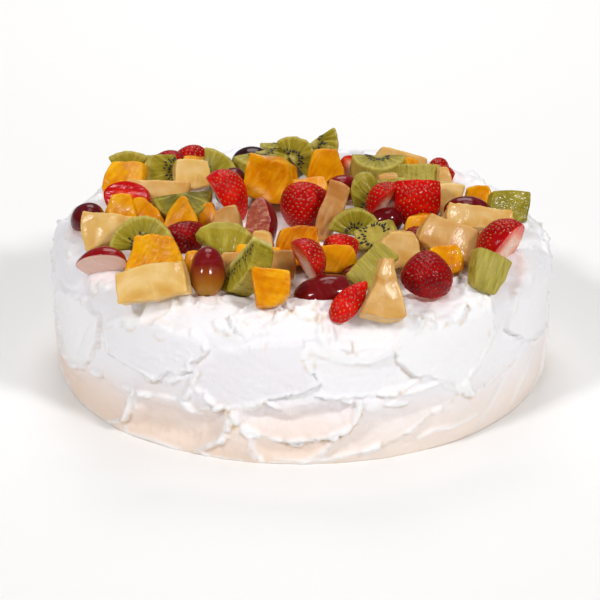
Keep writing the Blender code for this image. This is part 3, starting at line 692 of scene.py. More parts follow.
# node: rows of (form, sizes, (x, y, lift), (turn, tip, spin), tone, and what else its looks need). Turn is
# where a piece faces, from the front to the right; tip 0 lies flat and 90 stands facing out; spin turns it in
# its own plane. Tone 0 is the lightest flesh or skin and 1 the darkest.
heap = {
    "strawberry_04": [("whole", (27, 24), (3, 1, 0), (0, 90, 100), 0.3)],
    "peach_05": [("quad", (23, 20, 20, 21, 0), (-15, 32, 0), (-20, 68, -5), 0.25),
                 ("quad", (18, 16, 14, 12, 0), (3, 24, 0), (10, 20, 0), 0.5)],
    "strawberry_03": [("most", (29, 22), (-33, 10, 0), (-75, 118, 10), 0.0, {"redness": 0.85})],
    "strawberry_10": [("block", (31, 28), (56, -4, 0), (0, 62, 0), 0.08),
                      ("half", (27, 22), (37, 4, 0), (45, 118, -23), 0.3)],
    "kiwi_08": [("wedge", (17, 30, 150, 12), (-35, -40, 0), (0, 55, -8), 0.15,
                 {"core": (0, -22), "reach": 30, "ribs": 0.6})],
    "pineapple_07": [("quad", (7, 10, 28, 7, 0), (14, -15, 0), (0, 60, -20), 0.9)],
    "kiwi_14": [("wedge", (13.5, 8, 172, 6), (26, -18, 5), (0, 74, -5), 0.45, {"seeds": True}),
                ("quad", (20, 18, 10, 9, 0), (35, -27, 0), (-10, 64, 22), 0.15, {"seeds": True})],
    "pineapple_10": [("quad", (26, 12, 17, 12, 4), (42, -54, 0), (0, 64, 0), 0.35, {"ragged": 1.5}),
                     ("quad", (29, 24, 15, 12, -1), (68, -50, 0), (8, 56, -26), 0.6)],
    "strawberry_11": [("half", (33, 27), (87, -47, 0), (56, 118, 60), 0.45)],
    "pineapple_01": [("fan", (10, 40, 30, 10), (-87, -36, 0), (-12, 56, 101), 0.2)],
    "kiwi_07": [("wedge", (15, 0, 180, 8), (-74, -40, 5), (0, 64, 4), 0.15, {"seeds": True, "wet": 1.0})],
    "peach_06": [("quad", (28, 17, 18, 11, -3), (-65, -68, 0), (-5, 58, 0), 0.15, {"rough": 1.0}),
                 ("quad", (12, 8, 12, 9, 0), (-50, -62, 0), (10, 60, 0), 0.3)],
    "strawberry_05": [("half", (25, 20), (-53, -38, 0), (0, 205, 40), 0.9)],
    "grape_05": [("half", (28, 20), (-18, -31, 0), (-58, 74, 20), 0.35)],
    "peach_07": [("quad", (20, 17, 17, 14, 0), (-1, -47, 0), (0, 68, 0), 0.8),
                 ("quad", (22, 16, 11, 14, 0), (14, -60, 0), (5, 58, 0), 0.3),
                 ("quad", (24, 20, 10, 9, 0), (-19, -55, 0), (0, 40, 0), 0.4)],
    "pineapple_03": [("quad", (32, 31, 14, 12, 0), (-66, -94, 0), (-5, 60, 12), 0.15)],
    "grape_07": [("whole", (24, 16), (-44, -87, 0), (0, 50, 0), 0.3, {"amber": -1, "scar": -1})],
    "kiwi_09": [("wedge", (15.5, 0, 180, 11), (-27, -95, 0), (-66, 62, -115), 0.08,
                 {"seeds": True, "lengthwise": True, "ribs": 1.3})],
    "peach_08": [("quad", (19, 11, 16, 9, 0), (-13, -99, 0), (0, 55, -84), 0.35)],
    "pineapple_04": [("quad", (34, 32, 13, 8, 0), (-20, -69, 0), (0, 60, 0), 0.65)],
    "grape_08": [("docked", (31, 20), (8, -93, 0), (100, 173, 0), 0.45, {"amber": 0.55})],
    "strawberry_06": [("half", (24, 21), (3, -73, 0), (-63, 114, 0), 0.3)],
    "pineapple_11": [("fan", (10, 38, 30, 11), (37, -107, 0), (8, 60, 171), 0.5)],
    "strawberry_14": [("half", (24, 12), (23, -111, 0), (-5, 230, 37), 0.0)],
    "strawberry_15": [("half", (26, 24), (57, -86, 0), (20, 215, 20), 0.75)],
    "peach_12": [("quad", (14, 13, 14, 9, 0), (65, -71, 0), (20, 50, 0), 0.4)],
    "kiwi_17": [("quad", (11, 18, 17, 9, -1), (83, -79, 0), (20, 60, -32), 0.6,
                 {"ribs": 1.5, "fibres": 90})],
    "kiwi_16": [("quad", (25, 21, 12, 8, 0), (31, -79, 0), (0, 62, 45), 0.45, {"ribs": 1.3, "fibres": 90})],
    "strawberry_12": [("half", (18, 17), (19, -48, 0), (0, 215, 60), 0.2)],
    "grape_06": [("half", (26, 18), (-90, -64, 0), (-5, 130, -62), 0.0)],
    "grape_01": [("most", (20, 17), (-102, -11, 0), (10, 160, 0), 0.7)],
    "peach_01": [("quad", (19, 8, 15, 8, -2), (-87, -6, 0), (-10, 60, 0), 0.15),
                 ("quad", (20, 6, 16, 8, -5), (-76, -6, 0), (0, 60, 0), 0.5)],
    "peach_04": [("quad", (18, 4, 20, 8, 0), (-57, -12, 0), (-5, 66, -5), 0.2)],
    "kiwi_03": [("wedge", (15, 0, 180, 10), (-57, 3, 0), (0, 32, 188), 0.85, {"wet": 1.5})],
    "strawberry_01": [("slice", (20, 24), (-85, 9, 0), (-15, 50, 0), 0.3, {"redness": 1.5})],
    "pineapple_13": [("quad", (30, 31, 12, 10, 0), (-71, 23, 0), (5, 50, -3), 0.4)],
    "peach_02": [("quad", (21, 17, 15, 9, 2), (-87, 33, 0), (-5, 62, 0), 0.1)],
    "grape_03": [("whole", (21, 15), (-35, 33, 0), (0, 50, -20), 0.6, {"amber": -0.4})],
    "kiwi_01": [("wedge", (17, 55, 128, 8), (-88, 47, 0), (-10, 70, 0), 0.35),
                ("quad", (20, 15, 15, 11, -1), (-71, 48, 0), (5, 64, 0), 0.25,
                 {"core": (9, 0), "reach": 17, "seeds": True})],
    "pineapple_02": [("quad", (18, 16, 13, 10, 0), (-55, 45, 0), (8, 60, 0), 0.05, {"ragged": 1.0})],
    "kiwi_04": [("wedge", (18, 0, 95, 9), (-40, 60, 0), (0, 60, -5), 0.3, {"seeds": True})],
    "strawberry_02": [("half", (24, 20), (-69, 66, 0), (90, 180, 0), 0.6),
                      ("half", (24, 21), (-58, 78, 0), (40, 170, 0), 0.4)],
    "kiwi_05": [("wedge", (12.5, 0, 180, 9), (-4, 62, 0), (0, 70, -50), 0.15, {"seeds": True}),
                ("wedge", (15, 0, 180, 12), (-22, 56, 0), (0, 12, 200), 0.3, {"seeds": True})],
    "grape_04": [("half", (22, 19), (-24, 76, 0), (-10, 150, 85), 1.0)],
    "kiwi_06": [("wedge", (14, 0, 180, 10), (9, 82, 0), (5, 66, -150), 0.25, {"seeds": True}),
                ("wedge", (15, 0, 180, 7), (-7, 92, 0), (160, 4, 20), 0.3, {"seeds": True})],
    "peach_09": [("quad", (20, 11, 18, 13, -2), (13, 56, 0), (0, 70, 0), 0.25)],
    "kiwi_11": [("wedge", (14, 0, 180, 11), (39, 54, 4), (0, 12, 180), 0.25, {"seeds": True, "ribs": 1.3}),
                ("wedge", (12, 0, 180, 14), (59, 47, 0), (0, -25, 180), 0.15, {"ribs": 1.3})],
    "grape_09": [("most", (20, 16), (19, 36, 2), (100, 165, 0), 0.2)],
    "kiwi_12": [("oval", (14, 20, 13), (31, 20, 0), (0, 70, 0), 0.5,
                 {"core": (6, -8), "reach": 18, "seeds": True}),
                ("wedge", (15, 0, 180, 11), (47, 30, 0), (0, 14, 0), 0.3, {"seeds": True})],
    "pineapple_06": [("quad", (28, 24, 8, 8, 0), (52, 70, 0), (5, 66, -20), 0.3)],
    "strawberry_07": [("half", (14, 13), (25, 73, 0), (20, 80, 80), 0.2),
                      ("half", (21, 15), (31, 80, 0), (60, 178, 0), 0.3)],
    "strawberry_08": [("half", (17, 13), (70, 60, 0), (150, 172, 0), 0.5),
                      ("half", (16, 11), (69, 69, 0), (170, 178, 0), 0.4)],
    "pineapple_08": [("fan", (10, 27, 34, 11), (72, 14, 0), (0, 68, 0), 0.1),
                     ("quad", (30, 30, 11, 11, 0), (84, -20, 0), (8, 52, -8), 0.3, {"ragged": 1.2}),
                     ("quad", (18, 18, 31, 8, 0), (78, -4, 0), (5, 4, 0), 0.4)],
    "kiwi_13": [("quad", (19, 19, 15, 8, 2), (99, 1, 0), (15, 52, -8), 0.42,
                 {"core": (0, -30), "reach": 45, "ribs": 0.6})],
    "peach_10": [("quad", (13, 11, 10, 10, 0), (87, 25, 0), (0, 72, 0), 0.3)],
    "grape_11": [("half", (23, 15), (84, -3, 7), (88, 175, 0), 0.55)],
    "grape_10": [("half", (18, 14), (40, -10, 0), (0, 255, 70), 0.6)],
    "peach_13": [("quad", (20, 15, 13, 8, 0), (59, -19, 0), (0, 66, 0), 0.6)],
    "strawberry_13": [("half", (18, 17), (56, -33, 0), (0, 215, 90), 0.95)],
}


# Bits smaller than a berry that fill gaps between the larger pieces, in the same form; each fruit's bits
# are one piece.
bits = {
    "grape_bits": [("half", (14, 12), (-51, 17, 0), (0, 60, 20), 0.5),
                   ("half", (13, 11), (25, -66, 0), (0, 118, 80), 0.6)],
    "peach_bits": [("quad", (12, 10, 14, 7, 0), (-54, 64, 0), (5, 66, 0), 0.3),
                   ("quad", (8, 6, 11, 6, 0), (-45, 1, 0), (-10, 68, 8), 0.4),
                   ("quad", (10, 8, 14, 6, 0), (55, 58, 0), (10, 66, -6), 0.3),
                   ("quad", (6, 4, 13, 5, 0), (76, -22, 0), (10, 70, 0), 0.5)],
    "pineapple_bits": [("quad", (13, 11, 15, 6, 0), (-35, -15, 0), (-5, 66, 10), 0.7),
                       ("quad", (10, 8, 16, 6, 0), (-18, -49, 0), (0, 68, 0), 0.2),
                       ("quad", (12, 10, 15, 6, 0), (44, 34, 0), (6, 66, 5), 0.5),
                       ("quad", (7, 5, 15, 5, 0), (71, 43, 0), (10, 66, 0), 0.4)],
    "strawberry_bits": [("half", (13, 10), (57, -56, 0), (0, 200, 70), 0.6)],
}


cakeTop = surfaceOf(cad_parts["cake"], readPoints(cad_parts["cake"]))
held = 0.2  # m, the height from which a piece is let down


def dropOnCake(points):
    # How far a piece has to go down until it touches the cake.
    rooms = []
    for x, y, level in points[::3]:
        hit, normal, index, far = cakeTop.ray_cast(Vector((x, y, held)), Vector((0, 0, -1)))
        if hit:
            rooms.append(level - hit.z)
    return min(rooms)


def layPiece(name, row, seed, drop):
    # Cuts one piece, turns it and, if asked, lets it down on the cake.
    form, sizes, place, facing, tone, *more = row
    look = dict(*more, tone=tone)
    fruit = name.split("_")[0]
    piece = (cutSlab if fruit in sliced else cutBall)(name, fruit, form, sizes, seed, look)
    if look.get("seeds"):
        kiwiSeeds(piece, form, sizes, seed, look)
    if not piece.data.materials:
        piece.data.materials.append(materials[fruit])
    turns = zip(facing, "ZXZ")
    turn, tip, spin = (Matrix.Rotation(math.radians(angle), 4, axis) for angle, axis in turns)
    piece.data.transform(Matrix.Translation((place[0] * mm, place[1] * mm, held)) @ turn @ tip @ spin)
    if drop:
        points = readPoints(piece)
        points[:, 2] -= dropOnCake(points) - place[2] * mm
        writePoints(piece, points)
    piece.data.shade_smooth()
    return piece


def layPieces(node, rows, firstSeed):
    # Makes one node's pieces and sets them together where the node is.
    pieces = []
    for number, row in enumerate(rows):
        name = node + "abcd"[number] if len(rows) > 1 else node + "_cut"
        pieces.append(layPiece(name, row, firstSeed + number, len(rows) > 1))
    everything = np.concatenate([readPoints(piece) for piece in pieces])
    low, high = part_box(node)
    shift = (np.array(low) + np.array(high) - everything.min(0) - everything.max(0)) / 2
    for piece in pieces:
        writePoints(piece, readPoints(piece) + shift)
        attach(piece, "root")
        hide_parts(node)
    return pieces


fruitPieces = []
for node, rows in heap.items():
    fruitPieces += layPieces(node, rows, len(fruitPieces))
for name, rows in bits.items():
    made = [layPiece(name, row, len(fruitPieces) + number, True) for number, row in enumerate(rows)]
    pick(*made)
    if len(made) > 1:
        bpy.ops.object.join()
    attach(made[0], "root")
    fruitPieces.append(made[0])
print("fruit laid:", len(fruitPieces), "pieces")


cream = {
    "radius": 120, "height": 69, "shoulder": 13, "dip": 2.2,  # as the solid has them
    "under": 1.8, "over": 1.6,  # the ground of the marks lies this far inside the solid, the highest outside
    "tuck": 2.0,  # how far the foot draws in
    "marksBehind": 46, "rimFlaps": 90,
    "columns": 740, "closer": 0.25, "sideRows": 116, "topColumns": 300, "topRings": 38,
    "reach": 96,  # mm along the side and over the shoulder, where the top's own mesh begins
    "raised": 2.8, "raisedReach": 5.0,  # how the cream stands up against the fruit
    "stainReach": 7.0,  # how far the juice of the red fruit has run
}

# Spatula marks: outline as (bearing, height along the side), how far out, slope per 10 mm upwards and to
# the right, hollow in the middle, height of the lip round it, and how freshly white it is. Later marks lie
# over earlier ones.
marks = (
    {"outline": ((-12, 58), (-7, 68), (-2, 76), (4, 75), (4, 62), (-2, 60)),
     "out": 1.8, "up": 0.9, "right": 0.6, "lip": 0.9, "freshAndLit": 0.4},
    {"outline": ((-16, 69), (-12, 77), (-8, 84), (-2, 76), (-9, 68), (-12, 60)),
     "out": 1.0, "right": -1.0, "lip": 0.8, "freshAndLit": 0.6},
    {"outline": ((27, 82), (32, 87), (40, 79), (40, 68), (34, 63), (29, 62), (25, 65)),
     "out": 0.2, "hollow": 1.4, "lip": 1.1, "freshAndLit": 0.5},
    {"outline": ((-88, 12), (-76, 2), (-60, 0), (-50, 0), (-43, 7), (-41, 16), (-40, 24), (-47, 26),
                 (-56, 24), (-66, 18)),
     "out": 1.2, "hollow": 2.8, "lip": 1.2},
    {"outline": ((-41, 30), (-32, 34), (-24, 41), (-24, 34), (-27, 26), (-32, 25), (-40, 24)),
     "out": 0.6, "up": 1.0, "lip": 0.6},
    {"outline": ((-40, 24), (-32, 25), (-28, 26), (-25, 23), (-16, 26), (-16, 12), (-20, 6), (-24, 0),
                 (-43, 0), (-43, 7), (-40, 16)),
     "out": 1.0, "hollow": 4.2, "lip": 1.3},
    {"outline": ((-16, 12), (-15, 25), (-14, 18), (-10, 14), (-11, 6), (-7, 0), (-20, 0), (-24, 1),
                 (-20, 6)),
     "out": 2.0, "right": 1.2, "lip": 0.9},
    {"outline": ((-10, 14), (-11, 8), (-9, 0), (3, 0), (8, 16), (1, 11), (-4, 12)),
     "out": 0.6, "hollow": 1.4, "lip": 1.1},
    {"outline": ((13, 30), (17, 28), (26, 27), (34, 23), (26, 14), (20, 9), (10, 3), (2, 0), (8, 14),
                 (11, 20)),
     "out": 1.2, "hollow": 2.2, "lip": 1.0, "freshAndLit": 0.3},
    {"outline": ((-14, 18), (-14, 26), (-8, 31), (-4, 29), (2, 33), (13, 32), (12, 24), (10, 18), (8, 16),
                 (1, 12), (-4, 12), (-9, 15)),
     "out": 1.2, "hollow": 4.4, "lip": 1.2},
    {"outline": ((-24, 34), (-21, 31), (-20, 28), (-24, 23), (-27, 26)),
     "out": 1.2, "up": 1.5, "lip": 1.0},
    {"outline": ((-22, 46), (-18, 54), (-11, 58), (0, 61), (1, 52), (4, 40), (0, 36), (-6, 33), (-14, 28),
                 (-24, 23), (-20, 28), (-21, 31), (-24, 34), (-24, 38)),
     "out": 2.0, "up": 0.9, "right": 0.3, "lip": 1.0},
    {"outline": ((1, 60), (1, 52), (4, 40), (2, 34), (14, 33), (22, 34), (26, 37), (21, 46), (19, 52),
                 (10, 50)),
     "out": 1.7, "up": 0.4, "right": -0.3, "lip": 0.8, "freshAndLit": 0.5},
    {"outline": ((-48, 50), (-42, 56), (-32, 62), (-22, 60), (-20, 54), (-24, 46), (-24, 42), (-30, 39),
                 (-32, 34), (-37, 35), (-42, 37), (-47, 39)),
     "out": 3.0, "up": 0.7, "right": -0.4, "lip": 1.2, "freshAndLit": 0.3},
    {"outline": ((-80, 34), (-76, 24), (-67, 17), (-61, 20), (-56, 26), (-52, 38), (-50, 54), (-57, 58),
                 (-72, 54)),
     "out": 2.4, "up": 0.6, "right": 0.5, "lip": 1.3, "freshAndLit": 0.8},
    {"outline": ((45, 51), (51, 48), (58, 35), (55, 30), (50, 26), (46, 24), (40, 23), (39, 32), (42, 36),
                 (45, 44)),
     "out": 1.4, "up": 0.3, "lip": 0.8, "freshAndLit": 0.5},
    {"outline": ((23, 64), (20, 56), (21, 48), (25, 40), (34, 32), (37, 26), (40, 24), (39, 32), (42, 36),
                 (45, 44), (46, 54), (45, 64), (40, 68), (34, 63), (30, 62), (26, 65)),
     "out": 3.2, "up": 0.5, "lip": 1.2, "freshAndLit": 1.0},
    {"outline": ((70, 74), (81, 62), (92, 50), (90, 30), (78, 26), (70, 29), (60, 34), (51, 48), (54, 62),
                 (61, 66)),
     "out": 2.6, "up": 0.4, "right": -0.3, "lip": 1.6, "freshAndLit": 0.7},
    {"outline": ((100, 78), (92, 66), (80, 62), (72, 72), (77, 82)),
     "out": 1.0, "hollow": 1.0, "lip": 1.1, "freshAndLit": 0.6},
    {"outline": ((6, 72), (7, 60), (12, 56), (17, 56), (20, 60), (22, 70), (15, 80)),
     "out": 0.6, "hollow": 2.0, "lip": 0.7, "freshAndLit": 0.5},
)

# Raised or sunk lines left by the spatula's edge: (bearing, height) points, width, height.
ridges = (
    {"line": ((4, 64), (5, 58), (8, 54), (12, 52), (16, 52), (20, 55), (22, 61)),
     "width": 2.6, "rise": 3.4, "rope": True},  # a twisted rope of cream
    {"line": ((13, 30), (11, 20), (8, 15), (5, 8), (0, 0)), "width": 1.0, "rise": 1.8},
    {"line": ((-16, 26), (-16, 18), (-18, 10), (-24, 1)), "width": 1.2, "rise": 1.9},
    {"line": ((-40, 24), (-41, 16), (-43, 8), (-50, 0)), "width": 1.1, "rise": 1.8},
    {"line": ((66, 26), (59, 18), (56, 6)), "width": 1.1, "rise": 1.4},
    {"line": ((82, 34), (78, 18), (74, 5), (66, 1)), "width": 1.2, "rise": 1.7},
    {"line": ((57, 32), (48, 16), (44, 6)), "width": 1.0, "rise": 1.3},
    {"line": ((20, 32), (26, 32), (31, 34), (36, 27), (41, 22)), "width": 1.0, "rise": 1.5},
    {"line": ((-52, 52), (-58, 36), (-63, 21)), "width": 0.8, "rise": -1.4},
    {"line": ((-48, 52), (-43, 58), (-37, 61), (-35, 70)), "width": 1.2, "rise": 1.6},
    {"line": ((-32, 74), (-30, 67), (-33, 61)), "width": 0.9, "rise": 1.3},
    {"line": ((-72, 60), (-66, 58), (-61, 60)), "width": 1.0, "rise": 1.3},
    {"line": ((-16, 62), (-14, 62), (-13, 64)), "width": 2.2, "rise": 1.8},
    {"line": ((15, 27), (15.4, 27.5)), "width": 3.4, "rise": 2.6},
    {"line": ((37, 28), (39, 29)), "width": 2.0, "rise": 2.0},
    {"line": ((-98, 62), (-94, 66), (-90, 63)), "width": 2.0, "rise": 2.4},
    {"line": ((-84, 72), (-80, 68), (-76, 70)), "width": 1.6, "rise": 1.6},
    {"line": ((-44, 0), (-36, 1.5), (-28, 0.5)), "width": 1.2, "rise": 2.0},
    {"line": ((26, 8), (30, 10), (36, 9), (42, 11)), "width": 1.0, "rise": 1.6},
    {"line": ((-6, 3), (0, 2), (6, 3), (14, 6)), "width": 1.0, "rise": 1.5},
)


def blobOutline(draw, bearing, height, long, wide, heading, corners, bulges):
    # An uneven oval on the side of the cake, its length at an angle of heading radians.
    outline = []
    for step in range(corners):
        angle = 2 * math.pi * step / corners
        bulge = draw.uniform(*bulges)
        p, q = long * bulge * math.cos(angle), wide * bulge * math.sin(angle)
        across = p * math.cos(heading) - q * math.sin(heading)
        up = p * math.sin(heading) + q * math.cos(heading)
        outline.append((bearing + math.degrees(across / cream["radius"]), height + up))
    return tuple(outline)


def backMarks():
    # The back of the cake is spread in the same way.
    draw = random.Random(4)
    made = []
    for number in range(cream["marksBehind"]):
        bearing = 86 + 190 * (number + 0.5) / cream["marksBehind"] + draw.uniform(-5, 5)
        height = (10, 46, 28, 64)[number % 4] + draw.uniform(-6, 6)
        long, wide = draw.uniform(16, 27), draw.uniform(9, 15)
        heading = math.radians(draw.uniform(-25, 65))
        outline = blobOutline(draw, bearing, height, long, wide, heading, 9, (0.8, 1.15))
        made.append({"outline": outline, "out": draw.uniform(0.6, 2.8), "up": draw.uniform(0, 1.0),
                     "right": draw.uniform(-0.5, 0.5), "hollow": draw.choice((0, 0, 1.6, 3.4)),
                     "lip": draw.uniform(0.8, 1.4), "freshAndLit": draw.uniform(0, 1) * (height > 30)})
    return tuple(made)


def smallFlaps():
    # Little flaps and ruffles where the spatula was lifted: along the edges of the marks, and all round
    # the upper rim.
    draw = random.Random(11)
    made = []
    for mark in backMarks() + marks:
        corners = mark["outline"]
        for (b1, h1), (b2, h2) in zip(corners, corners[1:] + corners[:1]):
            across, up = math.radians(b2 - b1) * cream["radius"], h2 - h1
            if draw.random() < min(0.75, math.hypot(across, up) / 22):
                share = draw.uniform(0.15, 0.85)
                long = draw.uniform(2.5, 5.5)
                heading = math.degrees(math.atan2(up, across)) + draw.uniform(-25, 25)
                made.append((b1 + (b2 - b1) * share, h1 + up * share, long, heading))
    for number in range(cream["rimFlaps"]):
        bearing = 360 * number / cream["rimFlaps"] + draw.uniform(-2, 2)
        made.append((bearing, draw.uniform(58, 84), draw.uniform(3, 7), draw.uniform(-35, 35)))
    flaps = []
    for bearing, height, long, heading in made:
        wide = long * draw.uniform(0.25, 0.5)
        outline = blobOutline(draw, bearing, height, long, wide, math.radians(heading), 7, (0.7, 1.2))
        flaps.append({"outline": outline, "added": draw.uniform(0.3, 1.3), "up": draw.uniform(-1.5, 2.0),
                      "lip": draw.uniform(0.4, 1.0), "freshAndLit": draw.uniform(0.4, 1.0), "fine": 0.45})
    return tuple(flaps)


def wayRound(bearing, middle):
    # Millimetres round the side from the bearing middle, by the shorter way.
    return np.radians((bearing - middle + 180) % 360 - 180) * cream["radius"]


def toSegment(across, up, start, end):
    # How far along a straight edge the nearest place lies, as a share, and the gaps from there.
    dx, dy = end[0] - start[0], end[1] - start[1]
    share = np.clip(((across - start[0]) * dx + (up - start[1]) * dy) / (dx * dx + dy * dy), 0, 1)
    return share, across - start[0] - share * dx, up - start[1] - share * dy


def edgeDistance(across, up, corners):
    # Distance to an outline, positive inside it, and how far the nearest edge faces down (-1 to 1).
    inside = np.zeros(len(across), bool)
    nearest = np.full(len(across), np.inf)
    rise = np.zeros(len(across))
    for start, end in zip(corners, corners[1:] + corners[:1]):
        share, gapX, gapY = toSegment(across, up, start, end)
        gap = np.hypot(gapX, gapY)
        closer = gap < nearest
        nearest = np.where(closer, gap, nearest)
        rise = np.where(closer, gapY / np.maximum(gap, 1e-6), rise)
        if start[1] != end[1]:
            slant = (end[0] - start[0]) / (end[1] - start[1])
            crossing = (start[1] > up) != (end[1] > up)
            inside ^= crossing & (across < start[0] + (up - start[1]) * slant)
    return np.where(inside, nearest, -nearest), np.where(inside, rise, -rise)


def lineDistance(across, up, points):
    # Distance to a drawn line, and how far along it the nearest place lies, from 0 to 1.
    nearest = np.full(len(across), np.inf)
    along = np.zeros(len(across))
    length = 0
    for start, end in zip(points, points[1:]):
        share, gapX, gapY = toSegment(across, up, start, end)
        gap = np.hypot(gapX, gapY)
        size = math.dist(start, end)
        closer = gap < nearest
        nearest = np.where(closer, gap, nearest)
        along = np.where(closer, length + share * size, along)
        length += size
    return nearest, along / length


def creamRelief(bearing, height):
    # How far the cream stands out at each place, how much painted tan shade lies in its folds, and how white
    # it is, freshly spread or painted with light on lips and ridges.
    angle, radius = np.radians(bearing), cream["radius"] - 2
    ring = np.column_stack((np.cos(angle) * radius, np.sin(angle) * radius, height))
    ragged = 1.2 * roughness(ring, 0.11, 1) + 0.8 * roughness(ring, 0.3, 2) + 0.6 * roughness(ring, 0.8, 3)
    lively = np.clip(0.75 + 1.1 * roughness(ring, 0.09, 5), 0.15, 1.5)
    torn = roughness(ring, 0.9, 7)
    out = 1.4 + 1.4 * roughness(ring, 0.03, 8) + 0.6 * roughness(ring, 0.09, 9)
    creaseShade = np.zeros(len(ring))
    freshAndLit = np.full(len(ring), 0.3)
    for mark in backMarks() + marks + smallFlaps():
        middle, level = (sum(axis) / len(axis) for axis in zip(*mark["outline"]))
        x, y = wayRound(bearing, middle), height
        corners = tuple((wayRound(b, middle), h) for b, h in mark["outline"])
        size = max(math.dist(corner, (0, level)) for corner in corners) + 6  # and a rim for the lip
        near = np.nonzero((np.abs(x) < size) & (np.abs(y - level) < size))[0]
        distance, down = edgeDistance(x[near], y[near], corners)
        fine = mark.get("fine", 1)
        inner = distance + ragged[near] * fine
        crisp = smoothStep(-0.9, 0.3, down)  # the spatula leaves lower edges crisp and upper ones soft
        ground = out[near] + mark["added"] if "added" in mark else mark["out"]
        plane = ground + mark.get("up", 0) * (y[near] - level) / 10 + mark.get("right", 0) * x[near] / 10
        plane -= mark.get("hollow", 0) * smoothStep(0, 10, inner)
        plane += 0.15 * roughness(ring[near], 0.2, 6)
        width = 0.4 + 1.6 * (1 - crisp) * fine
        cover = smoothStep(-1, 1, inner / width)
        out[near] += (plane - out[near]) * cover
        strength = crisp * lively[near]
        lip = strength * np.exp(-((inner - 0.5) / 0.8) ** 2) * (1 + 0.6 * torn[near])
        out[near] += mark["lip"] * lip
        fold = np.exp(-((inner + 0.9) / 0.7) ** 2) * crisp
        out[near] -= 0.45 * mark["lip"] * fold * lively[near]
        # painted shade: the fold under a crisp lip is tinted tan
        creaseShade[near] = creaseShade[near] * (1 - cover) + 0.55 * fold * np.clip(0.1 + 0.9 * ragged[near], 0, 1)
        freshAndLit[near] += (mark.get("freshAndLit", 0) - freshAndLit[near]) * cover
        # painted highlight: the raised lip is painted whiter
        freshAndLit[near] += (1 - freshAndLit[near]) * 0.8 * np.clip(lip, 0, 1)
    for ridge in ridges:
        middle = ridge["line"][0][0]
        x = wayRound(bearing, middle)
        points = tuple((wayRound(b, middle), h) for b, h in ridge["line"])
        near = np.nonzero(np.abs(x) < 60)[0]
        distance, share = lineDistance(x[near], height[near], points)
        distance = np.abs(distance + 0.3 * ragged[near] * min(1, ridge["width"]))
        profile = np.exp(-(distance / ridge["width"]) ** 2) * (0.7 + 0.3 * np.sin(math.pi * share))
        if "rope" in ridge:
            profile *= 1 + 0.15 * np.sin(share * 34)
        out[near] += ridge["rise"] * profile
        # painted highlight: the ridge is painted whiter
        freshAndLit[near] += (1 - freshAndLit[near]) * 0.7 * np.clip(profile, 0, 1)
    strokes = roughness(ring * np.array((1, 1, 2.2)), 0.22, 15)
    out += 0.22 * strokes + 0.14 * roughness(ring, 0.5, 12) + 0.08 * roughness(ring, 1.2, 13)
    level = 1.6  # the foot is drawn off clean at this by the spatula's edge
    out = level + 0.5 * roughness(ring, 0.05, 14) + (out - level) * (0.25 + 0.75 * smoothStep(0, 7, height))
    return out, np.clip(creaseShade, 0, 1), np.clip(freshAndLit, 0, 1)


def creamPlaces(bearing, height):
    # Where the surface lies for each bearing and height, which runs on over the shoulder and along the top.
    straight = cream["height"] - cream["shoulder"]
    turned = np.clip((height - straight) / cream["shoulder"], 0, math.pi / 2)
    radius = cream["radius"] - cream["under"] - cream["shoulder"] * (1 - np.cos(turned))
    over = np.maximum(0, height - straight - cream["shoulder"] * math.pi / 2)
    radius -= over
    radius -= cream["tuck"] * np.maximum(0, 1 - height / 14) ** 2
    level = np.minimum(height, straight) + cream["shoulder"] * np.sin(turned)
    out, creaseShade, freshAndLit = creamRelief(bearing, height)
    angle = np.radians(bearing)
    ring = np.column_stack((np.cos(angle) * radius, np.sin(angle) * radius, 0 * radius))
    flatTop = smoothStep(0, 16, over)
    out = out * (1 - flatTop) + flatTop * (0.6 * roughness(ring, 0.03, 21) + 0.4 * roughness(ring, 0.12, 22))
    out += flatTop * 0.15 * roughness(ring, 0.4, 23)
    level -= cream["dip"] * smoothStep(7, 13, over)
    reachOut = np.minimum(radius + out * np.cos(turned), cream["radius"] + cream["over"])
    lifted = level + out * np.sin(turned)
    lifted = np.where(height <= 0, 0, np.maximum(lifted, 0.05))
    points = np.column_stack((reachOut * np.sin(angle), -reachOut * np.cos(angle), lifted))
    return points, np.column_stack((creaseShade, 0 * creaseShade, freshAndLit))


def wrapSheet(name, columns, levels):
    # A flat grid, wound into a ring: one column for each bearing, closer together in front, one row for
    # each height.
    clearSelection()
    bpy.ops.mesh.primitive_grid_add(
        x_subdivisions=columns, y_subdivisions=len(levels) - 1, size=1, location=(0, 0, 0))
    piece = bpy.context.object
    piece.name = name
    flat = readPoints(piece)
    column = np.rint((flat[:, 0] + 0.5) * columns).astype(int)
    row = np.rint((flat[:, 1] + 0.5) * (len(levels) - 1)).astype(int)
    turn = (column % columns) * 2 * math.pi / columns
    return piece, np.degrees(turn - cream["closer"] * np.sin(turn)), levels[row]


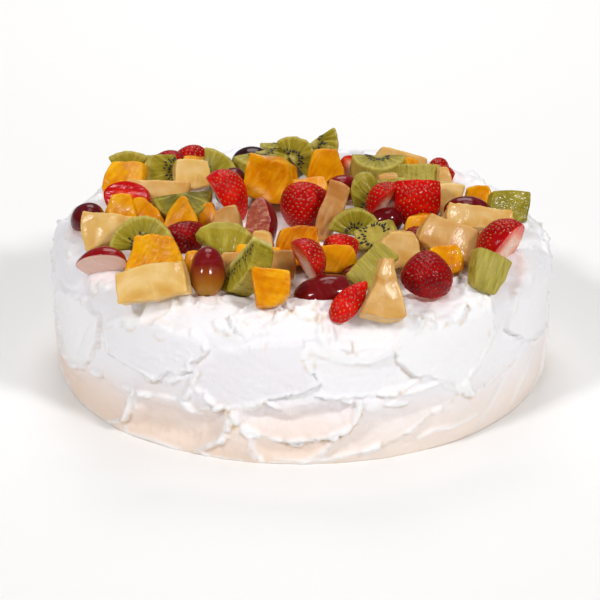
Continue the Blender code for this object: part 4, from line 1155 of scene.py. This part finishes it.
def makeCream():
    straight, turned = cream["height"] - cream["shoulder"], cream["shoulder"] * math.pi / 2
    axis = straight + turned + cream["radius"] - cream["shoulder"]  # the way from the foot to the middle
    sideLevels = np.linspace(0, cream["reach"], cream["sideRows"] + 1)
    topLevels = np.linspace(cream["reach"] + 1, axis - 3, cream["topRings"] + 1)
    side, bearing, height = wrapSheet("cream", cream["columns"], sideLevels)
    crown, crownBearing, crownHeight = wrapSheet("crown", cream["topColumns"], topLevels)
    count = len(bearing)
    bearing, height = np.append(bearing, crownBearing), np.append(height, crownHeight)
    places, looks = creamPlaces(bearing, height)
    for piece, part in ((side, slice(0, count)), (crown, slice(count, None))):
        writePoints(piece, places[part] * mm)
        writeAttribute(piece, "look", looks[part])
    pick(side, crown)
    bpy.ops.object.join()
    with editMode():
        bpy.ops.mesh.select_all(action="SELECT")
        bpy.ops.mesh.remove_doubles(threshold=0.00001)
        bpy.ops.mesh.select_all(action="DESELECT")
    points = readPoints(side) / mm
    around = np.hypot(points[:, 0], points[:, 1])
    # the two facing loops are joined, then the base and the small hole in the middle are closed
    selectOpenEdges(side, (around > 60) & (points[:, 2] > 50))
    with editMode():
        bpy.ops.mesh.bridge_edge_loops()
    for keep in (points[:, 2] < 1, around < 20):
        selectOpenEdges(side, keep)
        with editMode():
            bpy.ops.mesh.edge_face_add()
    with editMode():
        turnFacesOut()
    return side


def selectOpenEdges(piece, keep):
    mesh = piece.data
    used = {}
    for face in mesh.polygons:
        for key in face.edge_keys:
            used[key] = used.get(key, 0) + 1
    mesh.polygons.foreach_set("select", np.zeros(len(mesh.polygons), bool))
    mesh.vertices.foreach_set("select", np.zeros(len(mesh.vertices), bool))
    flags = np.zeros(len(mesh.edges), bool)
    for edge in mesh.edges:
        one, other = edge.vertices
        if used.get(edge.key, 0) == 1 and keep[one] and keep[other]:
            flags[edge.index] = True
            mesh.vertices[one].select = mesh.vertices[other].select = True
    mesh.edges.foreach_set("select", flags)
    pick(piece)
    bpy.context.tool_settings.mesh_select_mode = (False, True, False)


def raiseRoundFruit(piece):
    # Cream pressed up against the fruit, and tinted by the juice of the red pieces.
    points = readPoints(piece)
    corners, faces, redCorners = [], [], []
    for name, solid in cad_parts.items():
        if name == "cake":
            continue
        first, own = len(corners), readPoints(solid).tolist()
        corners += own
        faces += [tuple(first + i for i in face.vertices) for face in solid.data.polygons]
        if name.startswith(("strawberry", "grape")):
            redCorners += own
    allFruit = BVHTree.FromPolygons(corners, faces)
    red = KDTree(len(redCorners))
    for number, corner in enumerate(redCorners):
        red.insert(corner, number)
    red.balance()
    upper = np.nonzero(points[:, 2] > 0.05)[0]
    uneven = 1 + 0.5 * roughness(points[upper] / mm, 0.2, 31)
    stain = np.zeros(len(points))
    for index, factor in zip(upper.tolist(), uneven.tolist()):
        place = Vector(points[index])
        hit, normal, face, gap = allFruit.find_nearest(place, (cream["raisedReach"] + 2) * mm)
        if hit is None:
            continue
        close = 1 - min(1, max(0, gap / mm - 0.5) / (cream["raisedReach"] * factor))
        points[index, 2] += cream["raised"] * mm * close * close * (3 - 2 * close)
        stain[index] = 0.45 * max(0, 1 - red.find(place)[2] / (cream["stainReach"] * mm)) * factor
    writePoints(piece, points)
    look = np.empty(len(points) * 3, np.float32)
    piece.data.attributes["look"].data.foreach_get("vector", look)
    look = look.reshape(-1, 3)
    look[:, 1] = np.clip(stain, 0, 0.6)
    writeAttribute(piece, "look", look)


creamPiece = makeCream()
raiseRoundFruit(creamPiece)
creamPiece.data.materials.append(materials["cream"])
creamPiece.data.shade_smooth()
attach(creamPiece, "root")
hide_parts("cake")
print("cream spread:", len(creamPiece.data.polygons), "faces")


studio = {  # places in metres from the middle of the cake's foot
    "eye": (-0.0007, -1.0279, 0.4711), "target": (-0.0007, 0, 0.0297), "lens": 136.7,
    "floor": 12.0, "floorColour": "#F8F7F6", "sky": 0.17, "skyColour": "#FAFAFC",
    "lights": (  # name, place, size, watts, the point it is aimed at, spread
        ("windowRight", (1.7, -1.8, 2.0), 0.5, 46, (0, 0, 0.05), 180),
        ("windowLeft", (-1.6, -1.6, 2.1), 0.5, 38, (0, 0, 0.05), 180),
        ("top", (0.1, 0.3, 2.4), 0.9, 7, (0, 0, 0.05), 180),
        ("backdrop", (0, 1.1, 1.3), 0.8, 4.0, (0, 0.75, 0), 110),  # whitens the board behind the cake
    ),
}


def aim(thing, target):
    thing.rotation_euler = (Vector(target) - thing.location).to_track_quat("-Z", "Y").to_euler()


def addLight(name, place, size, power, target, spread):
    data = bpy.data.lights.new(name, "AREA")
    data.size = size
    data.energy = power
    data.spread = math.radians(spread)
    light = bpy.data.objects.new(name, data)
    bpy.context.scene.collection.objects.link(light)
    light.location = place
    aim(light, target)


clearSelection()
bpy.ops.mesh.primitive_plane_add(size=studio["floor"], location=(0, 0, 0))
floor = bpy.context.object
floor.name = "floor"
board = {"Roughness": 0.7, "Base Color": linear(studio["floorColour"])}
floor.data.materials.append(newMaterial("pale studio board", board)[0])

for settings in studio["lights"]:
    addLight(*settings)

world = bpy.data.worlds.new("studio")
bpy.context.scene.world = world
world.use_nodes = True
sky = {"Color": linear(studio["skyColour"]), "Strength": studio["sky"]}
setInputs(world.node_tree, world.node_tree.nodes["Background"], sky)
bpy.context.scene.view_settings.view_transform = "Standard"

cameraData = bpy.data.cameras.new("camera")
cameraData.lens = studio["lens"]
cameraData.sensor_width = 36
camera = bpy.data.objects.new("camera", cameraData)
bpy.context.scene.collection.objects.link(camera)
camera.location = studio["eye"]
aim(camera, studio["target"])
bpy.context.scene.camera = camera
print("studio set")
